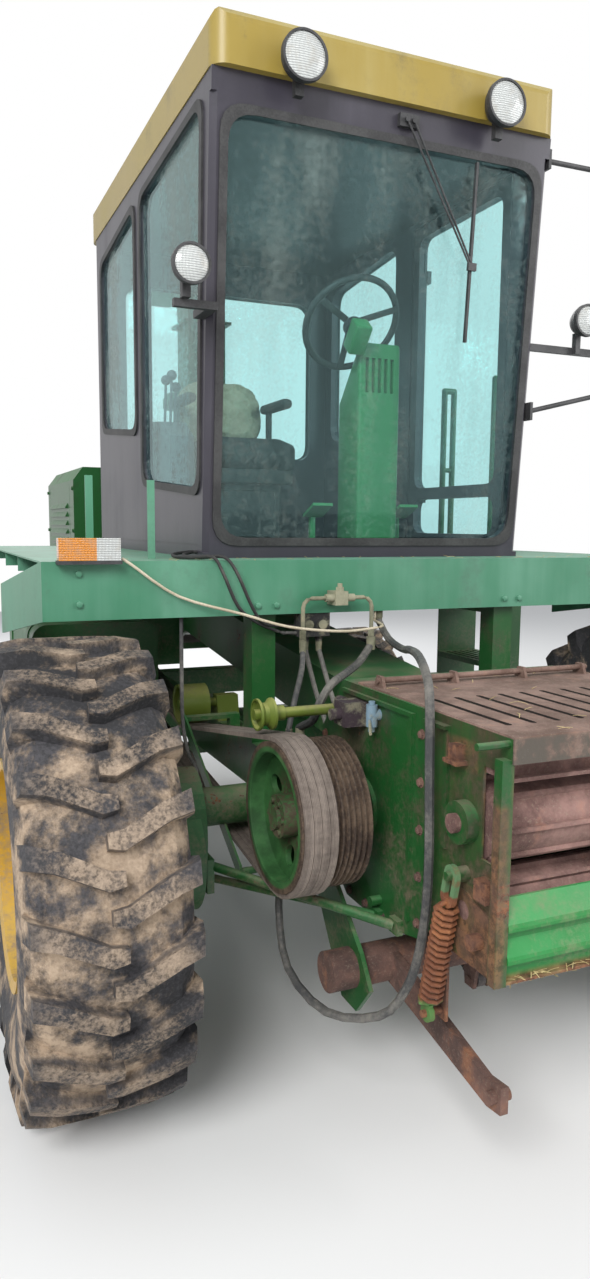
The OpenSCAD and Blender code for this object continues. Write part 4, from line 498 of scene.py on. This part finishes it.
green = wornPaint("greenPaint", greenTones)
deepRustFinish = rustySteel("deepRust", deepRust)
throatFinish = rustySteel("throatRust", throatRust)
finishes = {
    "green_paint": green,
    "pale_green_paint": wornPaint("paleGreenPaint", deckTones),
    "bright_green_paint": wornPaint("brightGreenPaint", freshTones),
    "yellow_paint": wornPaint("yellowPaint", roofTones),
    "rim_paint": wornPaint("rimPaint", rimTones),
    "cab_paint": wornPaint("cabPaint", cabTones),
    "rust": rustySteel("plateRust", plateRust),
    "spring_rust": rustySteel("springRust", springRust),
    "steel": rustySteel("dullSteel", dullSteel),
    "rubber": plainPlastic("sealRubber", (0.010, 0.010, 0.011), (0.045, 0.045, 0.045), 0.6),
    "belt": beltRubber(beltTones),
    "plastic": plainPlastic("blackPlastic", (0.012, 0.012, 0.013), (0.05, 0.05, 0.052), 0.55),
    "seat": vinyl("seatVinyl", (0.012, 0.012, 0.014), (0.05, 0.048, 0.046), 1500),
    "cable": plainPlastic("creamCable", (0.42, 0.36, 0.25), (0.62, 0.55, 0.42), 0.6),
    "glass": tintedGlass("tintedGlass", glassTones),
    "lens": ribbedLens("clearLens", (0.62, 0.64, 0.62), (0.20, 0.21, 0.21)),
    "amber_lens": ribbedLens("amberLens", (0.74, 0.27, 0.02), (0.30, 0.09, 0.01)),
}
frontTread = tyreRubber("frontTyreRubber", tyreTones, (0, 725), 0.687)
rearTread = tyreRubber("rearTyreRubber", tyreTones, (2550, 560), 0.532)
own = {
    "belt_sheaves": sheavePaint(sheaveTones),
    "belt_tensioner": wornPaint("guidePaint", guideTones),
    "cutter_housing": wornPaint("oilyPaint", oilyTones),
    "exhaust_stack": rustySteel("exhaustRust", exhaustRust),
    "feeder_cover": rustySteel("coverRust", coverRust),
    "feeder_housing": wornPaint("feederPaint", feederTones),
    "hydraulic_hoses": hoseRubber(hoseTones),
    "lift_arms": deepRustFinish,
    "lower_feed_roll": throatFinish,
    "steering_column": wornPaint("columnPaint", columnTones),
    "throat_bars": throatFinish,
    "throat_sill": wornPaint("sillPaint", sillTones),
    "upper_feed_roll": throatFinish,
    "valve_manifold": rustySteel("fittingSteel", fittingSteel),
}

for part in frame["record"]["subparts"]:
    node = nodes[part["node"]]
    if part["material_slot"] == "tyre":
        chosen = frontTread if node.name.startswith("front") else rearTread
    else:
        chosen = own.get(node.name, finishes.get(part["material_slot"], green))
    node.data.materials.clear()
    node.data.materials.append(chosen)
print("the parts have their finishes")


def settle(piece, body, finish, smooth=35):
    # Puts a finished piece's place into its mesh and hands it to a body.
    bpy.ops.object.select_all(action="DESELECT")
    piece.select_set(True)
    bpy.context.view_layer.objects.active = piece
    bpy.ops.object.transform_apply(location=True, rotation=True, scale=True)
    bpy.ops.object.shade_smooth_by_angle(angle=math.radians(smooth))
    piece.data.materials.clear()
    piece.data.materials.append(finish)
    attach(piece, body)
    return piece


def pickFaces(piece, wanted):
    # Leaves the piece in edit mode with only the wanted faces selected.
    bpy.ops.object.mode_set(mode="EDIT")
    bpy.ops.mesh.select_mode(type="FACE")
    bpy.ops.mesh.select_all(action="DESELECT")
    bpy.ops.object.mode_set(mode="OBJECT")
    for face in piece.data.polygons:
        face.select = bool(wanted(face))
    bpy.ops.object.mode_set(mode="EDIT")


def pickEdges(piece, wanted):
    # Leaves the piece in edit mode with only the wanted edges selected.
    bpy.ops.object.mode_set(mode="EDIT")
    bpy.ops.mesh.select_mode(type="EDGE")
    bpy.ops.mesh.select_all(action="DESELECT")
    bpy.ops.object.mode_set(mode="OBJECT")
    for edge in piece.data.edges:
        a, b = (piece.data.vertices[i].co for i in edge.vertices)
        edge.select = bool(wanted(a, b))
    bpy.ops.object.mode_set(mode="EDIT")


def startBlock(low, high):
    # A block between two corners, with its measures in its mesh, for the piece that is made of it.
    bpy.ops.object.select_all(action="DESELECT")
    bpy.ops.mesh.primitive_cube_add(size=1, location=(low + high) / 2, scale=high - low)
    bpy.ops.object.transform_apply(location=False, rotation=False, scale=True)
    return bpy.context.object


def roundEdges(piece, width, segments, sharp=60):
    rounding = piece.modifiers.new("rounding", "BEVEL")
    rounding.width, rounding.segments, rounding.limit_method = width, segments, "ANGLE"
    rounding.angle_limit = math.radians(sharp)
    bpy.ops.object.modifier_apply(modifier="rounding")


def spread(first, name, places):
    # Copies a piece to many places, each a point and the way its top faces, and joins them.
    copies = []
    for place, facing, spin in places:
        twin = first.copy()
        twin.data = first.data.copy()
        bpy.context.scene.collection.objects.link(twin)
        turn = Vector(facing).to_track_quat("Z", "Y").to_matrix().to_4x4()
        spun = Matrix.Rotation(spin, 4, "Z")
        twin.matrix_world = Matrix.Translation(place) @ turn @ spun @ first.matrix_world
        copies.append(twin)
    bpy.ops.object.select_all(action="DESELECT")
    for twin in copies:
        twin.select_set(True)
    bpy.context.view_layer.objects.active = copies[0]
    bpy.ops.object.join()
    joined = bpy.context.object
    joined.name = joined.data.name = name
    bpy.data.objects.remove(first)
    return joined


bolt = {"sides": 6, "across": 0.019, "head": 0.0075, "washer": 0.0145, "sheet": 0.002, "washerSides": 16,
        "chamfer": 0.0018, "raised": 0.0011}


def makeBolt(values):
    # A hexagon head with a chamfered top, on its washer.
    bpy.ops.object.select_all(action="DESELECT")
    corner = values["across"] / 2 / math.cos(math.pi / values["sides"])
    bpy.ops.mesh.primitive_cylinder_add(vertices=values["sides"], radius=corner, depth=values["head"],
                                        location=(0, 0, values["sheet"] + values["head"] / 2))
    piece = bpy.context.object
    pickFaces(piece, lambda face: face.normal.z > 0.9)
    bpy.ops.mesh.inset(thickness=values["chamfer"], depth=values["raised"])
    bpy.ops.mesh.primitive_cylinder_add(vertices=values["washerSides"], radius=values["washer"],
                                        depth=values["sheet"], location=(0, 0, values["sheet"] / 2))
    bpy.ops.object.mode_set(mode="OBJECT")
    return piece


def boltRows(rows):
    # Each row: first point, last point, how many, and the way that the heads face.
    places = []
    for first, last, count, facing in rows:
        a, b = at(*first), at(*last)
        for i in range(count):
            share = i / max(count - 1, 1)
            places.append((a.lerp(b, share), facing, dice.uniform(0, 1.0)))
    return places


def bothSides(rows):
    # The same rows again on the machine's other side.
    mirrored = [((-a[0], a[1], a[2]), (-b[0], b[1], b[2]), count, (-f[0], f[1], f[2]))
                for a, b, count, f in rows]
    return rows + mirrored


cutterBolts = bothSides([
    ((416, -738, 700), (416, -738, 1240), 5, (1, 0, 0)),
    ((416, -125, 790), (416, -125, 1110), 4, (1, 0, 0)),
    ((416, -540, 634), (416, -320, 634), 3, (1, 0, 0)),
])
housingBolts = bothSides([
    ((750, 2850, 1240), (750, 2850, 2020), 4, (1, 0, 0)),
    ((750, 3890, 1240), (750, 3890, 2020), 4, (1, 0, 0)),
]) + [
    ((-560, 3910, 1230), (560, 3910, 1230), 5, (0, 1, 0)),
    ((-560, 3910, 1880), (-480, 3910, 1880), 2, (0, 1, 0)),
    ((480, 3910, 1880), (560, 3910, 1880), 2, (0, 1, 0)),
]
deckBolts = [
    ((-1180, 146, 1640), (-1180, 146, 1540), 2, (0, -1, 0)),
    ((1180, 146, 1640), (1180, 146, 1540), 2, (0, -1, 0)),
    ((-560, 146, 1520), (-490, 146, 1520), 2, (0, -1, 0)),
    ((490, 146, 1520), (560, 146, 1520), 2, (0, -1, 0)),
]
boltSets = [
    ("cutterBolts", cutterBolts, deepRustFinish, "rust"),
    ("housingBolts", housingBolts, green, "green_paint"),
    ("deckBolts", deckBolts, finishes["pale_green_paint"], "pale_green_paint"),
]
for name, rows, finish, slotName in boltSets:
    settle(spread(makeBolt(bolt), name, boltRows(rows)), "machine", finish)
print("bolts are in")

crimp = {"length": 46, "wall": 3.2, "sides": 20, "rings": 4, "ringWide": 5.6, "squeeze": 0.9,
         "lip": 1.5, "lipRise": 1.0}


def makeCrimp(bore, values):
    # Pressed ferrule at a hose's end: a sleeve with rings squeezed into it.
    bpy.ops.object.select_all(action="DESELECT")
    radius = bore / 2000 + values["wall"] / 1000
    depth = values["length"] / 1000
    bpy.ops.mesh.primitive_cylinder_add(vertices=values["sides"], radius=radius, depth=depth,
                                        location=(0, 0, depth / 2))
    piece = bpy.context.object
    pickFaces(piece, lambda face: abs(face.normal.z) < 0.1)
    half = values["ringWide"] / 2000
    rings = [depth * (i + 1) / (values["rings"] + 1) for i in range(values["rings"])]
    for ring in rings:
        for cut in (ring - half, ring + half):
            bpy.ops.mesh.select_all(action="SELECT")
            bpy.ops.mesh.bisect(plane_co=(0, 0, cut), plane_no=(0, 0, 1))
    bpy.ops.object.mode_set(mode="OBJECT")
    pickFaces(piece, lambda face: abs(face.normal.z) < 0.1
              and any(abs(face.center.z - ring) < half for ring in rings))
    squeeze = values["squeeze"]
    bpy.ops.transform.resize(value=(squeeze, squeeze, 1), center_override=(0, 0, depth / 2))
    bpy.ops.object.mode_set(mode="OBJECT")
    pickFaces(piece, lambda face: abs(face.normal.z) > 0.9)
    bpy.ops.mesh.inset(thickness=values["lip"] / 1000, depth=values["lipRise"] / 1000)
    bpy.ops.object.mode_set(mode="OBJECT")
    return piece


hoseEnds = {  # by the hose's thickness: where each end sits and the way that it points
    26: [((-60, 176, 1487), (0, 0, -1)), ((-545, -110, 827), (0, 0, -1))],
    20: [((-409, 92, 1398), (0, 0, -1)), ((-540, -98, 1081), (0, 0, 1))],
    28: [((-135, 92, 1398), (0, 0, -1)), ((-500, -98, 1081), (0, 0, 1))],
    18: [((-362, 176, 1390), (0, 0, -1)), ((-308, 176, 1390), (0, 0, -1)),
         ((-330, 0, 950), (0, 0, 1)), ((-272, 0, 950), (0, 0, 1))],
}
for bore, ends in hoseEnds.items():
    places = [(at(*place), facing, 0.0) for place, facing in ends]
    settle(spread(makeCrimp(bore, crimp), f"hoseCrimps{bore}", places), "machine",
           own["valve_manifold"])
print("hose ends are in")

straw = {"length": 36, "width": 2.2, "sides": 5, "flat": 0.5, "folds": (-0.008, 0.007), "bend": 0.0016,
         "lean": 0.25, "dark": (0.34, 0.25, 0.10), "light": (0.66, 0.53, 0.27)}
strawBeds = [  # two corners, how many stalks, and the way that the bed faces
    ((-396, -1111, 709.5), (396, -1103, 710.5), 60, (0, 0, 1)),
    ((-396, -1111, 698.5), (396, -1085, 699.5), 70, (0, 0, -1)),
    ((-395, -1100, 1318.8), (395, -360, 1319.2), 26, (0, 0, 1)),
    ((-1200, 160, 1680.8), (1200, 340, 1681.4), 40, (0, 0, 1)),
]


def makeStraw(values):
    # One flattened stalk, a little bent, standing for all of them.
    bpy.ops.object.select_all(action="DESELECT")
    bpy.ops.mesh.primitive_cylinder_add(vertices=values["sides"], radius=values["width"] / 2000,
                                        depth=values["length"] / 1000, rotation=(0, math.pi / 2, 0))
    piece = bpy.context.object
    bpy.ops.object.transform_apply(location=True, rotation=True, scale=True)
    bpy.ops.object.mode_set(mode="EDIT")
    for x in values["folds"]:
        bpy.ops.mesh.select_all(action="SELECT")
        bpy.ops.mesh.bisect(plane_co=(x, 0, 0), plane_no=(1, 0, 0))
    bpy.ops.mesh.select_all(action="SELECT")
    bpy.ops.transform.resize(value=(1, 1, values["flat"]))
    bpy.ops.object.mode_set(mode="OBJECT")
    for vertex in piece.data.vertices:
        if abs(vertex.co.x) < 0.01:
            vertex.co.z += values["bend"]
    return piece


def strawPlaces(beds, lean):
    places = []
    for low, high, count, facing in beds:
        for _ in range(count):
            spot = at(*(dice.uniform(a, b) for a, b in zip(low, high)))
            tip = Vector((dice.uniform(-lean, lean), dice.uniform(-lean, lean), 0))
            places.append((spot, Vector(facing) + tip, dice.uniform(0, 6.28)))
    return places


settle(spread(makeStraw(straw), "strawBits", strawPlaces(strawBeds, straw["lean"])), "machine",
       strawTone(straw["dark"], straw["light"]))
print("straw is scattered")

mirror = {"low": (1067, 287, 2617), "high": (1253, 291, 3033), "corner": 24, "roundness": 6,
          "clean": (0.80, 0.82, 0.83), "dirty": (0.38, 0.35, 0.30)}


def makeMirror(values):
    # A thin pane with rounded corners, which covers the face of the mirror's case.
    low, high = at(*values["low"]), at(*values["high"])
    piece = startBlock(low, high)
    pickEdges(piece, lambda a, b: abs(a.y - b.y) > (high.y - low.y) / 2)
    bpy.ops.mesh.bevel(offset=values["corner"] / 1000, segments=values["roundness"])
    bpy.ops.object.mode_set(mode="OBJECT")
    piece.name = piece.data.name = "mirrorGlass"
    return piece


settle(makeMirror(mirror), "machine", silvered(mirror["clean"], mirror["dirty"]))

seatX, seatY = -255, 1000  # the middle of the seat's front edge, where the part has its own seat
cushion = {
    "seat": {"low": (-227, 6, 2056), "high": (227, 474, 2168), "crown": 26, "corner": 0.045},
    "back": {"low": (-217, 446, 2172), "high": (217, 554, 2500), "crown": 22, "lean": 8, "corner": 0.13},
}
filling = {"cornerSteps": 8, "piping": 0.022, "pipingSteps": 3, "longEdge": 0.03, "voxel": 0.006,
           "quickVoxel": 0.012, "pressure": 4, "steps": 20}


def seatCorner(place):
    # From the seat's own millimetres, about the middle of its front edge.
    return at(place[0] + seatX, place[1] + seatY, place[2])


def softPad(name, values, fill):
    # A cushion: a rounded block, filled by cloth pressure and capped in how far it swells.
    piece = startBlock(seatCorner(values["low"]), seatCorner(values["high"]))
    piece.name = name
    along = "y" if "lean" in values else "z"
    pickEdges(piece, lambda a, b: abs(getattr(a - b, along)) > fill["longEdge"])
    bpy.ops.mesh.bevel(offset=values["corner"], segments=fill["cornerSteps"])
    bpy.ops.object.mode_set(mode="OBJECT")
    pickEdges(piece, lambda a, b: abs(getattr(a - b, along)) < 0.001)
    bpy.ops.mesh.bevel(offset=fill["piping"], segments=fill["pipingSteps"])
    bpy.ops.object.mode_set(mode="OBJECT")
    piece.rotation_euler = (-math.radians(values.get("lean", 0)), 0, 0)
    bpy.ops.object.transform_apply(location=False, rotation=True, scale=False)
    remesh = piece.modifiers.new("voxels", "REMESH")
    remesh.mode, remesh.voxel_size = "VOXEL", fill["voxel"]
    bpy.ops.object.modifier_apply(modifier="voxels")
    rest = [v.co.copy() for v in piece.data.vertices]
    cloth = piece.modifiers.new("fill", "CLOTH")
    cloth.settings.use_pressure = True
    cloth.settings.uniform_pressure_force = fill["pressure"]
    cloth.settings.effector_weights.gravity = 0
    for step in range(fill["steps"]):
        bpy.context.scene.frame_set(step + 1)
    bpy.ops.object.modifier_apply(modifier="fill")
    bpy.context.scene.frame_set(1)
    cap = values["crown"] / 1000
    for vertex, before in zip(piece.data.vertices, rest):
        moved = vertex.co - before
        if moved.length > cap:
            vertex.co = before + moved.normalized() * cap
    return piece


seatFinish = finishes["seat"]
coverFinish = vinyl("seatCoverCloth", (0.27, 0.22, 0.14), (0.46, 0.40, 0.28), 900)
seatPad = settle(softPad("seatCushion", cushion["seat"], filling), "machine", seatFinish, 60)
backPad = settle(softPad("seatBackCushion", cushion["back"], filling), "machine", coverFinish, 60)
print("cushions are filled")

seatFrame = {
    "seatBox": {"low": (-165, 80, 1724), "high": (165, 440, 1990), "round": 0.012},
    "seatSlide": {"low": (-205, 40, 1990), "high": (205, 470, 2054), "round": 0.006},
    "armPadRight": {"low": (-265, 180, 2350), "high": (-205, 480, 2395), "round": 0.02},
    "armPadLeft": {"low": (205, 180, 2350), "high": (265, 480, 2395), "round": 0.02},
    "armPostRight": {"low": (-245, 400, 2120), "high": (-225, 440, 2352), "round": 0.004},
    "armPostLeft": {"low": (225, 400, 2120), "high": (245, 440, 2352), "round": 0.004},
    "armBar": {"low": (-245, 400, 2120), "high": (245, 440, 2160), "round": 0.006},
}
panel = {"from": 0.15, "border": 0.03, "edge": 0.004, "depth": -0.004}


def makeBlock(name, values):
    # A pressed or moulded block with rounded edges; a large one has a shallow panel let into each side.
    low, high = seatCorner(values["low"]), seatCorner(values["high"])
    piece = startBlock(low, high)
    piece.name = name
    if min(high.x - low.x, high.z - low.z) > panel["from"]:
        pickFaces(piece, lambda face: abs(face.normal.z) < 0.5)
        bpy.ops.mesh.inset(thickness=panel["border"], depth=0, use_individual=True)
        bpy.ops.mesh.inset(thickness=panel["edge"], depth=panel["depth"], use_individual=True)
        bpy.ops.object.mode_set(mode="OBJECT")
    roundEdges(piece, values["round"], 3)
    return piece


seatPieces = [settle(makeBlock(name, values), "machine", seatFinish)
              for name, values in seatFrame.items()]
for piece in seatPieces + [seatPad, backPad]:
    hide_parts("operator_seat")
print("the seat is built")

wheel = {"middle": (75, 715, 2650), "radius": 203, "rim": 14, "tilt": -50, "dish": 30,
         "grips": 36, "gripDepth": 0.2, "hub": (42, 34, 0), "cap": (30, 12, 20),
         "spokes": (90, 210, 330), "spokeShort": 34, "spoke": (28, 7), "round": 0.0015}


def makeWheel(values):
    # Steering wheel: a rim with finger grips below, a dished hub with its cap, and three flat spokes.
    radius, rim, dish, short = (values[k] / 1000 for k in ("radius", "rim", "dish", "spokeShort"))
    bpy.ops.object.select_all(action="DESELECT")
    bpy.ops.mesh.primitive_torus_add(major_radius=radius, minor_radius=rim,
                                     major_segments=72, minor_segments=12)
    piece = bpy.context.object
    depth = values["gripDepth"]
    for vertex in piece.data.vertices:
        out = vertex.co.xy.length - radius
        if out < 0 and vertex.co.z < 0.001:
            turn = math.atan2(vertex.co.y, vertex.co.x)
            grip = 1 - depth + depth * math.cos(values["grips"] * turn) ** 2
            vertex.co.x, vertex.co.y = vertex.co.xy.normalized() * (radius + out * grip)
    bpy.ops.object.mode_set(mode="EDIT")
    for wide, deep, up in (values["hub"], values["cap"]):
        bpy.ops.mesh.primitive_cylinder_add(vertices=32, radius=wide / 1000, depth=deep / 1000,
                                            location=(0, 0, up / 1000 - dish))
    middle = (radius / 2 + short / 2, 0, -dish / 2)
    for spoke in values["spokes"]:
        bpy.ops.mesh.primitive_cube_add(size=1, location=(0, 0, 0))
        bpy.ops.transform.resize(value=(radius - short, *(v / 1000 for v in values["spoke"])))
        bpy.ops.transform.translate(value=middle)
        bpy.ops.transform.rotate(value=-math.atan2(dish, radius), orient_axis="Y", orient_type="GLOBAL",
                                 center_override=middle)
        bpy.ops.transform.rotate(value=-math.radians(spoke), orient_axis="Z", orient_type="GLOBAL",
                                 center_override=(0, 0, 0))
    bpy.ops.object.mode_set(mode="OBJECT")
    roundEdges(piece, values["round"], 2)
    piece.location = at(*values["middle"])
    piece.rotation_euler = (math.radians(values["tilt"]), 0, 0)
    return piece


steeringWheel = settle(makeWheel(wheel), "machine", finishes["plastic"])
steeringWheel.name = steeringWheel.data.name = "wheelRim"
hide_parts("steering_wheel")

column = {"low": (110, 700, 1724), "high": (310, 900, 2584), "drop": 242, "round": 0.013,
          "slots": (140, 170, 200, 230, 260), "slotWide": 16, "slotLow": 2372, "slotHigh": 2516,
          "slotEdge": 0.0008, "slotDepth": -0.022}


def makeColumn(values):
    # Shroud of the steering column: its top slopes under the wheel, with a vent cut in its front.
    low, high = at(*values["low"]), at(*values["high"])
    piece = startBlock(low, high)
    bpy.ops.object.transform_apply(location=True, rotation=False, scale=False)
    for vertex in piece.data.vertices:
        if vertex.co.z > high.z - 0.001 and vertex.co.y > high.y - 0.001:
            vertex.co.z -= values["drop"] / 1000
    pickEdges(piece, lambda a, b: max(a.z, b.z) > low.z + 0.001)
    bpy.ops.mesh.bevel(offset=values["round"], segments=3)
    wide = values["slotWide"]
    sides = [(at(x + shift, 0, 0), (1, 0, 0)) for x in values["slots"] for shift in (0, wide)]
    ends = [(at(0, 0, z), (0, 0, 1)) for z in (values["slotLow"], values["slotHigh"])]
    for spot, way in sides + ends:
        bpy.ops.mesh.select_all(action="SELECT")
        bpy.ops.mesh.bisect(plane_co=spot, plane_no=way)
    bpy.ops.object.mode_set(mode="OBJECT")
    bottom, top = at(0, 0, values["slotLow"]).z, at(0, 0, values["slotHigh"]).z
    pickFaces(piece, lambda face: face.normal.y < -0.9 and bottom < face.center.z < top and any(
        x < face.center.x * 1000 < x + wide for x in values["slots"]))
    bpy.ops.mesh.inset(thickness=values["slotEdge"], depth=values["slotDepth"], use_individual=True)
    bpy.ops.object.mode_set(mode="OBJECT")
    return piece


head = {"middle": (78, 655, 2586), "size": (76, 130, 76), "round": 0.010,
        # each rod's radius, and its two ends along the shaft from the wheel's middle
        "rods": {"shaft": (0.016, -0.11, -0.03), "boot": (0.030, -0.085, -0.058)}}


def makeHead(values, tilt):
    # The tilting head: a block off the shroud's side, with the booted shaft that carries the wheel.
    bpy.ops.object.select_all(action="DESELECT")
    bpy.ops.mesh.primitive_cube_add(size=1, location=at(*values["middle"]), rotation=(tilt, 0, 0),
                                    scale=[v / 1000 for v in values["size"]])
    piece = bpy.context.object
    bpy.ops.object.mode_set(mode="EDIT")
    bpy.ops.mesh.bevel(offset=values["round"], segments=3)
    axis = Vector((0, 0, 1))
    axis.rotate(Matrix.Rotation(tilt, 3, "X"))
    for radius, start, end in values["rods"].values():
        bpy.ops.mesh.primitive_cylinder_add(vertices=24, radius=radius, depth=end - start,
                                            location=at(*wheel["middle"]) + axis * (start + end) / 2,
                                            rotation=(tilt, 0, 0))
    bpy.ops.object.mode_set(mode="OBJECT")
    return piece


pedal = {"low": (-34, 683, 1862), "high": (58, 801, 1874), "lean": -24, "ribs": 5, "ribEdge": 0.002,
         "arm": (12, 802, 1787), "armSize": (24, 24, 126), "armRound": 0.003}


def makePedal(values, x):
    # A pedal: a flat arm from the floor and a ribbed pad.
    low, high = (at(x + corner[0], *corner[1:]) for corner in (values["low"], values["high"]))
    piece = startBlock(low, high)
    pickFaces(piece, lambda face: face.normal.z > 0.9)
    bpy.ops.mesh.subdivide(number_cuts=values["ribs"])
    bpy.ops.object.mode_set(mode="OBJECT")
    pickFaces(piece, lambda face: face.normal.z > 0.9)
    bpy.ops.mesh.inset(thickness=values["ribEdge"], depth=values["ribEdge"], use_individual=True)
    bpy.ops.object.mode_set(mode="OBJECT")
    piece.rotation_euler = (math.radians(values["lean"]), 0, 0)
    bpy.ops.object.transform_apply(location=False, rotation=True, scale=False)
    bpy.ops.object.mode_set(mode="EDIT")
    arm = values["arm"]
    bpy.ops.mesh.primitive_cube_add(size=1, location=at(x + arm[0], *arm[1:]),
                                    scale=[v / 1000 for v in values["armSize"]])
    bpy.ops.mesh.bevel(offset=values["armRound"], segments=2)
    bpy.ops.object.mode_set(mode="OBJECT")
    return piece


driverParts = [
    ("columnShroud", makeColumn(column)),
    ("steeringHead", makeHead(head, math.radians(wheel["tilt"]))),
    ("leftPedal", makePedal(pedal, 350)),
    ("rightPedal", makePedal(pedal, -70)),
]
for name, piece in driverParts:
    settle(piece, "machine", own["steering_column"]).name = name
    piece.data.name = name
    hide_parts("steering_column")
print("the driver's place is built")

floor = {"size": 30, "tone": (0.80, 0.80, 0.79)}


def makeFloor(values):
    bpy.ops.object.select_all(action="DESELECT")
    bpy.ops.mesh.primitive_plane_add(size=values["size"], location=(0, 0, 0))
    ground = bpy.context.object
    ground.name = "floor"
    paint = Paint("floorPaint", Roughness=0.9)
    paint.finish(values["tone"])
    ground.data.materials.append(paint.material)


makeFloor(floor)
print("the floor is laid")
